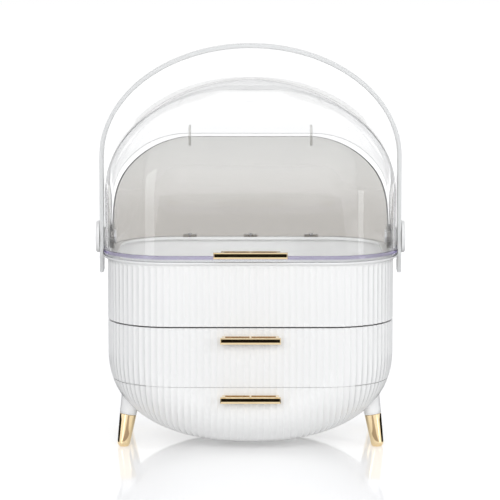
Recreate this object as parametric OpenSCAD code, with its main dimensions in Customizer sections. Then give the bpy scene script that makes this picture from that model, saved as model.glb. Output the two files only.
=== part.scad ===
// Dustproof makeup organizer: a ribbed bowl with two drawers and an open tray,
// a clear shell with a tip-back lid, and a carrying handle on the same pivots.
// Millimetres, +Z up, the drawers open towards -Y.

/* [Body] */
// Width of the body over the crests of its ribs
body_w = 280; // [272:1:288]
// Depth of the body over the crests of its ribs
body_d = 200; // [190:1:210]
// Radius of the body's upright corners
corner_r = 64; // [60:1:68]
// Height of the bowl's underside above the ground
bowl_bottom_z = 4.5; // [4:0.5:6]
// Height at which the upright walls begin to curve under
bowl_bend_z = 97; // [90:1:104]
// Power of the curve that the bowl's sides follow
bowl_power = 2.3; // [2.1:0.1:2.6]
// Height of the seam between the two drawers
lower_seam_z = 68; // [66:0.5:72]
// Height of the seam between the upper drawer and the tray
upper_seam_z = 126.5; // [124:0.5:131]
// Width of the open line at the casings' seams
seam_gap = 1; // [0.6:0.1:1.2]
// Width of the open line beside and between the drawer fronts
front_gap = 0.3; // [0.2:0.05:0.6]
// Thickness of the moulded walls behind the ribs
wall_t = 2.4; // [2:0.1:3]

/* [Ribs] */
// Number of ribs in each quarter of the outline
ribs_per_quarter = 33; // [30:1:36]
// Depth of the rounded flutes between the ribs' sharp crests
rib_depth = 1; // [0.6:0.1:1.2]
// Number of ribs from the front centre to each edge of the drawer fronts
front_rib_count = 16; // [15:1:17]
// Distance from the body's front to the lower drawer front's rear edge under the bowl
front_reach = 50; // [46:1:54]

/* [Tray] */
// Height of the top of the ribs
rib_top_z = 187; // [180:0.5:189]
// Height of the smooth band above the ribs
rim_h = 3.5; // [3:0.5:6]
// Thickness of the tray's floor
tray_floor_t = 3; // [2:0.5:4]
// Distance that the smooth band stands proud of the ribs
rim_proud = 0.3; // [0.2:0.1:0.5]
// Width of the ledge round the tray's mouth
rim_ledge = 9; // [8:0.5:11]
// Thickness of that ledge
ledge_t = 3; // [2:0.5:4]
// Overhang of the front lip that the lid rests on
lip_reach = 4.8; // [3.5:0.1:5]
// Overhang of the front lip at its root over the ribs
lip_root = 1; // [0.8:0.1:2]
// Height over which the front lip slopes out
lip_slope_h = 2.2; // [1.5:0.1:2.6]
// Distance in front of the pivots where the lip begins
lip_start = 22; // [20:1:30]

/* [Clear shell and lid] */
// Thickness of the clear walls
clear_t = 1.8; // [1.5:0.1:2.2]
// Side play between the body or rear shell and the lid
lid_play = 0.6; // [0.5:0.1:0.8]
// Front and back play between the body and the lid
lid_play_y = 0.4; // [0.3:0.1:0.6]
// Play between the rim and the lid resting on it
lid_seat_play = 0.3; // [0.2:0.1:0.5]
// Rise from the lid's seat to where its sides begin to arch in
side_spring_rise = 74.2; // [68:0.1:80]
// Rise from the lid's seat to where its front and back begin to arch in
front_spring_rise = 105.2; // [99:0.1:111]
// Rise from the lid's seat to its crown
lid_rise = 170.2; // [165:0.1:175]
// Lean of the line where lid and rear shell meet, from upright
part_angle = 47; // [45:1:49]
// Height of the lid's flange
flange_h = 6; // [4:0.1:6.4]
// Extra corner radius of the rear shell over the body's
rear_extra_r = 10; // [8:1:12]
// Opening between the lid's rear edge and the rear shell's edge
rear_gap = 0.8; // [0.6:0.1:1.5]
// Distance of each closing tab in from the body's side
tab_in_x = 78; // [74:1:90]
// Width of a closing tab
tab_w = 2.6; // [2:0.1:4]
// Thickness of a closing tab
tab_t = 2; // [1.6:0.1:2.6]
// Height of a closing tab above the rear shell's edge
tab_h = 11; // [6:1:14]

/* [Pivots] */
// Rise from the rim to the pivots
pivot_rise = 12.5; // [11:0.5:15]
// Radius of the pivot pins
pin_r = 4; // [3:0.1:5]
// Running clearance round the pins
pin_play = 0.05; // [0.03:0.01:0.08]
// Radius of the pins' heads
pin_head_r = 7; // [6:0.5:9]
// Thickness of the pins' heads
pin_head_t = 2.2; // [1.6:0.1:3]
// Thickness of the pad that the pin's head bears on
pin_pad_t = 2; // [1:0.1:3]
// Play on each side of a washer and of the strap
side_play = 0.3; // [0.2:0.1:0.4]
// Thickness of the washers
washer_t = 2.3; // [2:0.1:3]
// Radius of the washers
washer_r = 9; // [8:0.5:12]
// Radius of the round caps
cap_r = 15.75; // [14:0.25:18]
// Thickness of the round caps
cap_t = 3.7; // [3:0.1:5]

/* [Handle] */
// Thickness of the handle's strap
strap_t = 4; // [3:0.1:5]
// Width of the strap at its crown
strap_top_w = 20; // [16:1:24]
// Width of the strap at the pivots
strap_foot_w = 26; // [22:1:30]
// Room between the lid's crown and the underside of the handle's crown
handle_room = 32; // [26:0.5:38]
// Rise from where the lid's sides arch in to where the handle's do
handle_spring_rise = 24; // [16:0.5:30]
// Drop from the pivots to the strap's square lower ends
handle_foot_drop = 36.5; // [30:0.5:38]

/* [Drawers] */
// Thickness of the drawer boxes' walls
box_t = 2; // [1.5:0.1:2.5]
// Distance from the edges of the drawer fronts in to the drawer boxes' sides
box_edge = 9.2; // [9:0.1:14]
// Drop from the seam above to the upper drawer box's rim
upper_box_drop = 7.5; // [5:0.5:16]
// Distance from the body's rear in to the upper box's back
upper_box_in = 20; // [16:1:30]
// Drop from the seam above to the lower drawer box's rim
lower_box_drop = 5; // [4:0.5:10]
// Rise from the bowl's underside to the underside of the lower drawer box
lower_box_rise = 15.5; // [15:0.5:20]
// Distance from the body's rear in to the lower box's back
lower_box_in = 52; // [50:1:60]
// Side room between the lower box and the opening it slides through
box_room = 7.8; // [7.6:0.1:9]
// Width of the flange that carries the lower box
box_flange_w = 3.6; // [3:0.1:4.5]
// Drop from the lower box's rim to that flange's underside
box_flange_drop = 5.7; // [4:0.1:8]
// Gap left where a box meets its front
box_joint = 0.2; // [0.1:0.05:0.4]
// Sliding play between a box and its runners
slide_play = 0.3; // [0.2:0.1:0.5]
// Side play between a box and its runners
guide_play = 1; // [0.6:0.1:1.4]
// Thickness of the runners' plates
runner_t = 2; // [1.5:0.1:2.5]
// Width of the runner's foot under a box
runner_foot = 8; // [6:0.5:10]
// Height of the upper runners' guides
runner_h = 14; // [10:1:18]
// Distance from the body's front and rear in to the runners' ends
runner_in = 52; // [48:1:60]

/* [Shelf and posts] */
// Thickness of the shelf between the drawers
shelf_t = 2.6; // [2:0.1:3]
// Gap round the shelf inside the casings
shelf_play = 0.2; // [0.1:0.05:0.4]
// Distance of each post in from the body's side
post_in_x = 22; // [21:0.5:25]
// Distance of each post in from the body's front or rear
post_in_y = 42; // [40:0.5:44]
// Radius of the posts
post_r = 5; // [4.5:0.1:5.5]
// Depth of the bowl's screw bosses under the shelf
boss_h = 11.5; // [9:0.5:12]
// Radius of the tie screws
tie_r = 2; // [1.6:0.1:2.4]
// Room round the screws in their holes
screw_room = 0.2; // [0.1:0.05:0.3]
// Radius of the screws' heads
head_r = 4; // [3.5:0.1:4.5]
// Thickness of the screws' heads
head_t = 1.6; // [1.2:0.1:2]

/* [Legs] */
// Distance of each foot in from the body's side
foot_in_x = 14.3; // [12:0.1:18]
// Distance of each foot in from the body's front or rear
foot_in_y = 55; // [52:0.5:58]
// Lean of the legs outwards to the sides
splay_x = 8.9; // [7:0.1:10]
// Lean of the legs outwards to front and back
splay_y = 4; // [2:0.5:6]
// Length of the gold leg tips
tip_h = 32; // [28:0.5:34]
// Radius of a tip at its top
tip_top_r = 8.2; // [7.5:0.1:9]
// Radius of a tip at its foot
tip_foot_r = 6.3; // [5.5:0.1:7]
// Rounding of a tip's foot
tip_round = 3; // [2:0.5:4]
// Length of the white sockets above the tips
socket_h = 25; // [22:0.5:27]
// Radius of a socket where it joins the bowl
socket_top_r = 9.6; // [9:0.1:11]
// Radius of the screws that hold the legs
leg_screw_r = 2; // [1.6:0.1:2.4]
// Length of the screws that hold the legs
leg_screw_l = 38; // [32:1:42]

/* [Pulls] */
// Length of the drawer pulls' bars
drawer_bar_l = 58.5; // [50:0.5:70]
// Length of the lid pull's bar
lid_bar_l = 71.5; // [60:0.5:84]
// Height of the pulls' bars
bar_h = 6.2; // [5.6:0.1:8]
// Thickness of the pulls' bars
bar_t = 4; // [3:0.5:6]
// Finger gap behind the bars
finger_gap = 8; // [7:0.5:11]
// Depth of the chamfer along the bars' edges
bar_chamfer = 1; // [0.5:0.1:1.4]
// Thickness of the pulls' back plates
plate_t = 1.2; // [1:0.1:2]
// Length of the drawer pulls' back plates
drawer_plate_l = 55; // [46:1:58]
// Length of the lid pull's back plate
lid_plate_l = 57; // [46:1:66]
// Width of the pulls' outer posts
pull_post_w = 3.2; // [3:0.1:4]
// Width of the post in the middle of a pull
middle_post_w = 2; // [1.5:0.5:4]
// Height of the pulls' posts and plates
pull_post_h = 4; // [3:0.5:5]
// Drop from the seam above to the middle of the upper drawer's pull
upper_pull_drop = 11.3; // [9:0.1:26]
// Drop from the seam above to the middle of the lower drawer's pull
lower_pull_drop = 10.6; // [9:0.1:22]
// Gap between the lid's flange and the plate of its pull
lid_pull_gap = 0.7; // [0.5:0.1:6]
// Radius of the pulls' screws
pull_screw_r = 1; // [0.8:0.1:1.2]
// Length of the pulls' screws beyond the face that a pull sits on
pull_screw_l = 5; // [4:0.5:6]
// Gap left between a pull's plate and the face that it sits on
pull_seat = 0.1; // [0.05:0.05:0.2]

/* [Hidden] */
$fn = 64;

white = [0.93, 0.93, 0.92];
clear = [0.85, 0.88, 0.92, 0.35];
milky = [0.92, 0.93, 0.93, 0.7];
gold = [0.86, 0.68, 0.36];
steel = [0.7, 0.7, 0.72];

half_w = body_w / 2;
half_d = body_d / 2;
flat_x = half_w - corner_r;
flat_y = half_d - corner_r;
corner_arc = PI * corner_r / 2;
quarter = flat_x + corner_arc + flat_y;
rib_pitch = quarter / ribs_per_quarter;
// Distance along the outline from the front centre to the edge of the drawer fronts
front_u = front_rib_count * rib_pitch;
// How strongly the ribs keep their distance from the front centre as the bowl narrows
rib_spread = 6;
// Steps round a rib in the curved casings, and in the tray
casing_steps = 3;
tray_steps = 4;
// Bands between rings up the bowl and up the middle casing
bowl_bands = 6;
casing_bands = 3;
// Height over which the ribs fade out under the bowl, and of the flat underside's edge
rib_fade = 12;
underside_h = 1;

front_back_y = half_d - front_reach;
rim_z = rib_top_z + rim_h;
tray_z = upper_seam_z + seam_gap / 2;
tray_floor_z = tray_z + tray_floor_t;
casing_low_z = lower_seam_z + seam_gap / 2;
casing_high_z = upper_seam_z - seam_gap / 2;
bowl_top_z = lower_seam_z - seam_gap / 2;
shelf_z = bowl_top_z;
shelf_top_z = shelf_z + shelf_t;
// Overlap that fuses two shapes of one piece
fuse = 0.5;
// Length that carries a cut past the faces it opens
past = 1;
far = 500;

// Lid and rear shell
lid_in_w = half_w + lid_play;
lid_w = lid_in_w + clear_t;
lid_in_d = half_d + lid_play_y;
lid_d = lid_in_d + clear_t;
lid_r = corner_r + lid_play + clear_t;
lid_seat_z = rim_z + lid_seat_play;
side_spring_z = lid_seat_z + side_spring_rise;
front_spring_z = lid_seat_z + front_spring_rise;
lid_top_z = lid_seat_z + lid_rise;
rear_w = lid_in_w - lid_play;
rear_d = lid_in_d - 2 * lid_play_y;
rear_corner_r = corner_r + rear_extra_r;
tab_x = half_w - tab_in_x;
pivot_z = rim_z + pivot_rise;
hub_r = pivot_z - lid_seat_z;

// Pivot stack, measured outwards from the centre plane
pad_x = rear_w - clear_t - pin_pad_t;
washer_x = lid_w + side_play;
strap_x = washer_x + washer_t + side_play;
strap_out_x = strap_x + strap_t;
cap_x = strap_out_x + side_play;
cap_out_x = cap_x + cap_t;

// Handle
handle_top_z = lid_top_z + handle_room + strap_t;
handle_spring_z = side_spring_z + handle_spring_rise;
handle_foot_z = pivot_z - handle_foot_drop;

// Posts and feet
post_x = half_w - post_in_x;
post_y = half_d - post_in_y;
foot_x = half_w - foot_in_x;
foot_y = half_d - foot_in_y;

// Skin left at the face of a cap in front of the pin
cap_skin = 1.2;
pin_end_x = cap_out_x - cap_skin;

// The frame's middle lies halfway between the front of the lid's pull and the lid's rear
pull_reach = pull_seat + plate_t + finger_gap + bar_t;
frame_y = pull_reach / 2;

// Heights of the pulls at the middle of their bars
upper_pull_z = upper_seam_z - upper_pull_drop;
lower_pull_z = lower_seam_z - lower_pull_drop;
lid_pull_z = lid_seat_z + flange_h + lid_pull_gap + pull_post_h - bar_h / 2;

// ---- Outline and surfaces ----

// Distance from the centre plane of the upright outline, for a place along a quarter
function plan_x(u, inset) =
    u <= flat_x ? u :
    u <= flat_x + corner_arc
        ? flat_x + (corner_r - inset) * sin((u - flat_x) / corner_r * 180 / PI)
        : half_w - inset;

// Reach of the bowl's curve at a height, as a distance on the side wall's scale
function bowl_reach(z, inset) =
    (half_w - inset) * max(0, bowl_bend_z - z) / (bowl_bend_z - bowl_bottom_z - inset);

// Half-width of the casing at a height
function half_width(z, inset) =
    pow(max(0, pow(half_w - inset, bowl_power) - pow(bowl_reach(z, inset), bowl_power)),
        1 / bowl_power);

// Sideways place of a rib line at a height: it stays upright in front and bends in at the side
function line_x(z, u, inset) =
    let (x = plan_x(u, inset), a = half_width(z, inset))
    x * pow(1 + pow(x / a, rib_spread) - pow(x / (half_w - inset), rib_spread), -1 / rib_spread);

// Depth of the surface where a rib line crosses a height
function line_y(z, u, inset) =
    u > flat_x + corner_arc ? quarter - u :
    let (reach = pow(pow(line_x(z, u, inset), bowl_power) + pow(bowl_reach(z, inset), bowl_power),
                     1 / bowl_power),
         r = corner_r - inset, over = reach - flat_x)
    over <= 0 ? flat_y + r : flat_y + sqrt(max(0, r * r - over * over));

// A point on the casing for step i of n in each quarter, counter-clockwise from the front
function casing_point(z, i, n, inset, depth) =
    let (q = floor(i / n), j = i - q * n,
         u = (q % 2 == 0 ? j : n - j) * quarter / n,
         phase = u / rib_pitch - floor(u / rib_pitch + 0.001),
         deep = inset + depth * sin(180 * phase),
         x = line_x(z, u, deep), y = line_y(z, u, deep))
    [q < 2 ? x : -x, q == 0 || q == 3 ? -y : y, z];

function fade(z) = min(1, max(0, z - bowl_bottom_z - underside_h) / rib_fade);

function ribbed_ring(z, steps) =
    let (n = ribs_per_quarter * steps)
    [for (i = [0 : 4 * n - 1]) casing_point(z, i, n, 0, rib_depth * fade(z))];

// Smooth ring on the inside of the casing, with one facet behind each rib
function inside_ring(z, inset) =
    [for (i = [0 : 4 * ribs_per_quarter - 1]) casing_point(z, i, ribs_per_quarter, inset, 0)];

// Heights that crowd together towards the low end
function ring_heights(low, high, bands) =
    [for (i = [0 : bands]) low + (high - low) * (1 - cos(90 * i / bands))];

function flat(points) = [for (p = points) [p[0], p[1]]];

// Steps across the flat front, round a corner and along the side of a quarter of the dome
dome_front = 3;
dome_corner = 8;
dome_side = 2;
dome_steps = dome_front + dome_corner + dome_side;
// Bands between the heights where the dome's sides and its front begin to arch in
dome_bands = 3;

// A place on a quarter of a rounded ring: half-width a, half-depth d, corner radius r
function quarter_place(j, a, d, r) =
    j <= dome_front ? [(a - r) * j / dome_front, d] :
    j <= dome_front + dome_corner
        ? let (t = 90 * (j - dome_front) / dome_corner) [a - r + r * sin(t), d - r + r * cos(t)]
        : [a, (d - r) * (dome_steps - j) / dome_side];

function dome_ring(z, a, d, r) =
    [for (q = [0 : 3], j = [0 : dome_steps - 1])
        let (p = quarter_place(q % 2 == 0 ? j : dome_steps - j, a, d, r))
        [q < 2 ? p[0] : -p[0], q == 0 || q == 3 ? -p[1] : p[1], z]];

// Share of a full width that is left where an arch has risen from its spring to a height
function arch(z, spring, top) =
    z <= spring ? 1 : sqrt(max(0, 1 - pow((z - spring) / (top - spring), 2)));

// Rings of the dome from a level up to near its crown
function dome_rings(low, w, d, r, top) =
    let (sides = [for (i = [0 : dome_bands]) side_spring_z
                      + (front_spring_z - side_spring_z) * i / dome_bands],
         crown = [for (t = [12 : 12 : 84]) front_spring_z + (top - front_spring_z) * sin(t)])
    [for (z = concat([low], sides, crown))
        let (sa = arch(z, side_spring_z, top), sd = arch(z, front_spring_z, top))
        dome_ring(z, w * sa, d * sd, r * min(sa, sd))];

// Faces between two rings of n points, seen from outside
function wall_faces(n, low, high) =
    [for (i = [0 : n - 1])
        let (k = (i + 1) % n)
        each [[low + i, high + i, high + k], [low + i, high + k, low + k]]];

function reversed(faces) = [for (f = faces) [for (i = [len(f) - 1 : -1 : 0]) f[i]]];

// Flat rim between an outer ring and an inner ring that has m times fewer points
function rim_faces(inner_n, m, outer, inner) =
    [for (j = [0 : inner_n - 1])
        let (half = floor(m / 2), a = inner + j, b = inner + (j + 1) % inner_n,
             out = [for (k = [0 : m]) outer + (j * m + k) % (inner_n * m)])
        each concat([[a, b, out[half]]],
                    [for (k = [0 : 1 : half - 1]) [a, out[k + 1], out[k]]],
                    [for (k = [half : 1 : m - 1]) [b, out[k + 1], out[k]]])];

// Flat end over a ring of n points, as a fan about its centre, seen from above
function end_faces(n, ring, centre) = [for (i = [0 : n - 1]) [centre, ring + (i + 1) % n, ring + i]];

// A hollow moulding between outer rings and inner rings, both listed upwards
module hollow(outer, inner, open_low, open_high) {
    n = len(outer[0]);
    k = len(inner[0]);
    first_inner = n * len(outer);
    last_outer = n * (len(outer) - 1);
    last_inner = first_inner + k * (len(inner) - 1);
    centres = last_inner + k;
    low = open_low ? reversed(rim_faces(k, n / k, 0, first_inner))
        : concat(reversed(end_faces(n, 0, centres)), end_faces(k, first_inner, centres + 1));
    high = open_high ? rim_faces(k, n / k, last_outer, last_inner)
        : concat(end_faces(n, last_outer, centres + (open_low ? 0 : 2)),
                 reversed(end_faces(k, last_inner, centres + (open_low ? 1 : 3))));
    ends = concat(open_low ? [] : [outer[0][0][2], inner[0][0][2]],
                  open_high ? [] : [outer[len(outer) - 1][0][2], inner[len(inner) - 1][0][2]]);
    polyhedron(
        points = concat([for (r = outer) each r], [for (r = inner) each r],
                        [for (z = ends) [0, 0, z]]),
        faces = concat(
            [for (b = [0 : len(outer) - 2]) each wall_faces(n, b * n, (b + 1) * n)],
            [for (b = [0 : len(inner) - 2])
                each reversed(wall_faces(k, first_inner + b * k, first_inner + (b + 1) * k))],
            low, high),
        convexity = 6);
}

// A solid filled from its lowest ring to its highest
module filled(rings) {
    n = len(rings[0]);
    last = n * (len(rings) - 1);
    polyhedron(
        points = concat([for (r = rings) each r],
                        [[0, 0, rings[0][0][2]], [0, 0, rings[len(rings) - 1][0][2]]]),
        faces = concat(
            [for (b = [0 : len(rings) - 2]) each wall_faces(n, b * n, (b + 1) * n)],
            reversed(end_faces(n, 0, last + n)), end_faces(n, last, last + n + 1)),
        convexity = 4);
}

// ---- Shared shapes ----

// Plate with round corners, given by its half-width, half-depth and corner radius
module rounded_plate(w, d, r) {
    square([2 * (w - r), 2 * d], center = true);
    square([2 * w, 2 * (d - r)], center = true);
    for (x = [-1, 1], y = [-1, 1])
        translate([x * (w - r), y * (d - r)]) circle(r = r);
}

// Extrudes a shape drawn as (depth, height) across the body
module across(length = 2 * far) {
    rotate([90, 0, 90]) linear_extrude(height = length, center = true) children();
}

// Extrudes a shape drawn as (width, height) towards the front, from a depth
module forward(from_y, length) {
    translate([0, from_y, 0]) rotate([90, 0, 0]) linear_extrude(height = length) children();
}

// Places children at the four corners given by a distance along X and along Y
module four_corners(x, y) {
    for (sx = [-1, 1], sy = [-1, 1]) translate([sx * x, sy * y, 0]) children();
}

// A hole or shaft along X, outwards from x on side s
module side_rod(s, x, length, r) {
    translate([s * x, 0, pivot_z]) rotate([0, s * 90, 0]) cylinder(h = length, r = r);
}

// Outline that the drawer fronts fill, widened by c at its sides and at its rear
module front_window(c) {
    heights = concat(ring_heights(bowl_bottom_z + underside_h, bowl_top_z, bowl_bands),
                     ring_heights(casing_low_z, casing_high_z, casing_bands));
    edge = [for (z = heights) [line_x(z, front_u, 0) + c, z]];
    top = [[edge[len(edge) - 1][0], casing_high_z + far]];
    low = [[edge[0][0], -far]];
    right = concat(low, edge, top);
    forward(c - front_back_y, far)
        polygon(concat(right, [for (i = [len(right) - 1 : -1 : 0]) [-right[i][0], right[i][1]]]));
}

module bowl_wall(top_z) {
    heights = ring_heights(bowl_bottom_z + underside_h, top_z, bowl_bands);
    inner = ring_heights(bowl_bottom_z + underside_h + wall_t, top_z, bowl_bands);
    hollow([for (z = heights) ribbed_ring(z, casing_steps)],
           [for (z = inner) inside_ring(z, wall_t)], false, true);
}

module casing_wall(low_z) {
    heights = ring_heights(low_z, casing_high_z, casing_bands);
    hollow([for (z = heights) ribbed_ring(z, casing_steps)],
           [for (z = heights) inside_ring(z, wall_t)], true, true);
}

// The space inside the bowl, drawn in by an inset
module bowl_space(inset) {
    filled([for (z = ring_heights(bowl_bottom_z + underside_h + inset, bowl_top_z, bowl_bands))
        inside_ring(z, inset)]);
}

// Puts children on a leg's axis, with its foot on the ground
module on_leg(sx, sy) {
    translate([sx * foot_x, sy * foot_y, 0]) rotate([sy * splay_y, -sx * splay_x, 0]) children();
}

// A screw along +Z with its head from 0 upwards and its shaft downwards
module screw(r, length) {
    cylinder(h = head_t, r = head_r);
    translate([0, 0, -length]) cylinder(h = length + fuse, r = r);
}

// ---- Bowl, shelf, casing and tray ----

module base_shell() {
    color(white) difference() {
        union() {
            difference() {
                bowl_wall(bowl_top_z);
                front_window(front_gap / 2);
            }
            for (sx = [-1, 1], sy = [-1, 1])
                on_leg(sx, sy) translate([0, 0, tip_h])
                    cylinder(h = socket_h, r1 = tip_top_r, r2 = socket_top_r);
            four_corners(post_x, post_y) translate([0, 0, bowl_top_z - boss_h])
                cylinder(h = boss_h, r = post_r);
        }
        for (sx = [-1, 1], sy = [-1, 1])
            on_leg(sx, sy) cylinder(h = tip_h + socket_h + past, r = leg_screw_r + screw_room);
        four_corners(post_x, post_y) translate([0, 0, bowl_top_z - boss_h - past])
            cylinder(h = boss_h + 2 * past, r = tie_r + pin_play);
    }
}

module middle_shelf() {
    color(white) difference() {
        union() {
            translate([0, 0, shelf_z]) linear_extrude(height = shelf_t)
                polygon(flat(inside_ring(shelf_z, wall_t + shelf_play)));
            four_corners(post_x, post_y) translate([0, 0, shelf_z])
                cylinder(h = tray_z - shelf_z, r = post_r);
        }
        four_corners(post_x, post_y) translate([0, 0, shelf_z - past])
            cylinder(h = tray_z - shelf_z + 2 * past, r = tie_r + screw_room);
    }
}

module middle_shell() {
    color(white) difference() {
        casing_wall(casing_low_z);
        front_window(front_gap / 2);
    }
}

module tray() {
    color(white) difference() {
        union() {
            translate([0, 0, tray_z]) linear_extrude(height = rib_top_z - tray_z)
                polygon(flat(ribbed_ring(upper_seam_z, tray_steps)));
            translate([0, 0, rib_top_z]) linear_extrude(height = rim_h)
                rounded_plate(half_w + rim_proud, half_d + rim_proud, corner_r + rim_proud);
            sloped_lip();
        }
        translate([0, 0, tray_floor_z]) linear_extrude(height = rim_z - ledge_t - tray_floor_z)
            rounded_plate(half_w - rib_depth - wall_t, half_d - rib_depth - wall_t,
                          corner_r - rib_depth - wall_t);
        translate([0, 0, tray_floor_z]) linear_extrude(height = rim_z)
            rounded_plate(half_w - rim_ledge, half_d - rim_ledge, corner_r - rim_ledge);
        four_corners(post_x, post_y) translate([0, 0, tray_z - past])
            cylinder(h = tray_floor_t + 2 * past, r = tie_r + screw_room);
        rear_screw_places() translate([0, 0, rim_z - ledge_t - past])
            cylinder(h = ledge_t + 2 * past, r = pull_screw_r + pin_play);
    }
}

// Outline of the lid's flange, which ends over the rim's lip in front of the pivots
module front_lip() {
    intersection() {
        rounded_plate(half_w + lip_reach, half_d + lip_reach, corner_r + lip_reach);
        translate([-far, -far]) square([2 * far, far - lip_start]);
    }
}

function lip_ring(z, reach) = dome_ring(z, half_w + reach, half_d + reach, corner_r + reach);

// The rim's lip, sloping out from the ribs
module sloped_lip() {
    intersection() {
        filled([lip_ring(rib_top_z, lip_root), lip_ring(rib_top_z + lip_slope_h, lip_reach),
                lip_ring(rim_z, lip_reach)]);
        translate([-far, -far, 0]) cube([2 * far, far - lip_start, far]);
    }
}

module tie_screws() {
    color(steel) four_corners(post_x, post_y) translate([0, 0, tray_floor_z])
        screw(tie_r, tray_floor_z - bowl_top_z + boss_h - past);
}

// ---- Clear rear shell and its pivots ----

module dome_wall(low, w, d, r, top) {
    hollow(dome_rings(low, w, d, r, top),
           dome_rings(low, w - clear_t, d - clear_t, r - clear_t, top - clear_t), true, false);
}

// Depth and height of a point on the parting line, at a distance from the pivots
function part_point(reach) = [reach * sin(part_angle), pivot_z + reach * cos(part_angle)];

// Width and thickness of the rear shell's screw tabs
foot_tab_w = 14;
foot_tab_t = 2;
// Depth that the closing tabs bite into the shell's inner face
tab_bite = 0.2;

module rear_screw_places() {
    for (x = [-tab_x, 0, tab_x])
        translate([x, rear_d - clear_t - (rim_ledge - clear_t) / 2, 0]) children();
}

module rear_shell() {
    back = [rear_gap * cos(part_angle), -rear_gap * sin(part_angle)];
    edge_z = part_point(rear_d / sin(part_angle))[1] - rear_gap;
    color(clear) difference() {
        union() {
            intersection() {
                dome_wall(rim_z, rear_w, rear_d, rear_corner_r, lid_top_z - clear_t - lid_play);
                across() {
                    polygon([[back[0], pivot_z + back[1]], part_point(far) + back,
                             [far, rim_z - past], [back[0], rim_z - past]]);
                    translate([0, pivot_z]) circle(r = hub_r);
                }
            }
            for (s = [-1, 1]) side_rod(s, pad_x, pin_pad_t + clear_t / 2, hub_r - past);
            rear_screw_places() translate([-foot_tab_w / 2, 0, rim_z])
                translate([0, -(rim_ledge - clear_t) / 2 + past, 0])
                    cube([foot_tab_w, rim_ledge - clear_t - past + clear_t / 2, foot_tab_t]);
            for (s = [-1, 1])
                translate([s * tab_x - tab_w / 2, rear_d - clear_t - tab_t + tab_bite, edge_z - tab_h])
                    cube([tab_w, tab_t, 2 * tab_h]);
        }
        for (s = [-1, 1]) side_rod(s, pad_x - past, half_w, pin_r + pin_play);
        rear_screw_places() translate([0, 0, rim_z - past])
            cylinder(h = foot_tab_t + 2 * past, r = pull_screw_r + screw_room);
    }
}

module rear_shell_screws() {
    color(steel) rear_screw_places() translate([0, 0, rim_z + foot_tab_t]) {
        cylinder(h = head_t, r = 2 * pull_screw_r);
        translate([0, 0, -foot_tab_t - ledge_t]) cylinder(h = foot_tab_t + ledge_t + fuse,
                                                          r = pull_screw_r);
    }
}

module pivot_pin(s) {
    color(steel) {
        side_rod(s, pad_x - pin_head_t, pin_head_t, pin_head_r);
        side_rod(s, pad_x - fuse, pin_end_x - pad_x + fuse, pin_r);
    }
}

module pivot_washer(s) {
    color(white) difference() {
        side_rod(s, washer_x, washer_t, washer_r);
        side_rod(s, washer_x - past, washer_t + 2 * past, pin_r + pin_play);
    }
}

// Rounding of a cap's outer rim
cap_round = 1.5;

module pivot_cap(s) {
    color(white) translate([s * cap_x, 0, pivot_z]) rotate([0, s * 90, 0]) difference() {
        rotate_extrude() {
            square([cap_r, cap_t - cap_round]);
            square([cap_r - cap_round, cap_t]);
            translate([cap_r - cap_round, cap_t - cap_round])
                intersection() {
                    circle(r = cap_round);
                    square(cap_round);
                }
        }
        translate([0, 0, -past]) cylinder(h = pin_end_x - cap_x + past, r = pin_r + pin_play);
    }
}

module pivot_pin_left() { pivot_pin(-1); }
module pivot_pin_right() { pivot_pin(1); }
module pivot_washer_left() { pivot_washer(-1); }
module pivot_washer_right() { pivot_washer(1); }
module pivot_cap_left() { pivot_cap(-1); }
module pivot_cap_right() { pivot_cap(1); }

// ---- Lid and handle ----

module lid() {
    color(clear) difference() {
        union() {
            intersection() {
                dome_wall(lid_seat_z, lid_w, lid_d, lid_r, lid_top_z);
                across() {
                    polygon([[0, pivot_z], part_point(far), [-far, pivot_z + far],
                             [-far, lid_seat_z - past], [0, lid_seat_z - past]]);
                    translate([0, pivot_z]) circle(r = hub_r);
                }
            }
            translate([0, 0, lid_seat_z]) linear_extrude(height = flange_h) difference() {
                front_lip();
                rounded_plate(lid_w - clear_t / 2, lid_d - clear_t / 2, lid_r - clear_t / 2);
            }
        }
        for (s = [-1, 1]) side_rod(s, lid_in_w - past, clear_t + 2 * past, pin_r + pin_play);
        pull_screw_places(lid_plate_l, lid_in_d, lid_pull_z)
            translate([0, 0, -past]) cylinder(h = clear_t + 2 * past, r = pull_screw_r + screw_room);
    }
}

// Steps round the handle's arch
arch_steps = 48;

module handle() {
    spring = handle_spring_z;
    outer = [for (i = [0 : arch_steps]) let (t = 180 * i / arch_steps)
        [strap_out_x * cos(t), spring + (handle_top_z - spring) * sin(t)]];
    inner = [for (i = [arch_steps : -1 : 0]) let (t = 180 * i / arch_steps)
        [strap_x * cos(t), spring + (handle_top_z - strap_t - spring) * sin(t)]];
    color(milky) difference() {
        intersection() {
            forward(far / 2, far)
                polygon(concat([[strap_out_x, handle_foot_z]], outer,
                               [[-strap_out_x, handle_foot_z], [-strap_x, handle_foot_z]], inner,
                               [[strap_x, handle_foot_z]]));
            across() polygon([[-strap_foot_w / 2, 0], [strap_foot_w / 2, 0],
                              [strap_foot_w / 2, pivot_z], [strap_top_w / 2, handle_top_z],
                              [strap_top_w / 2, far], [-strap_top_w / 2, far],
                              [-strap_top_w / 2, handle_top_z], [-strap_foot_w / 2, pivot_z]]);
        }
        for (s = [-1, 1]) side_rod(s, strap_x - past, strap_t + 2 * past, pin_r + pin_play);
    }
}

// ---- Pulls ----

// Places children at a pull's screws, with +Z pointing out of the face at depth face_y
module pull_screw_places(plate_l, face_y, z) {
    for (s = [-1, 1])
        translate([s * (plate_l - pull_post_w) / 2, -face_y, z + (bar_h - pull_post_h) / 2])
            rotate([90, 0, 0]) children();
}

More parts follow.
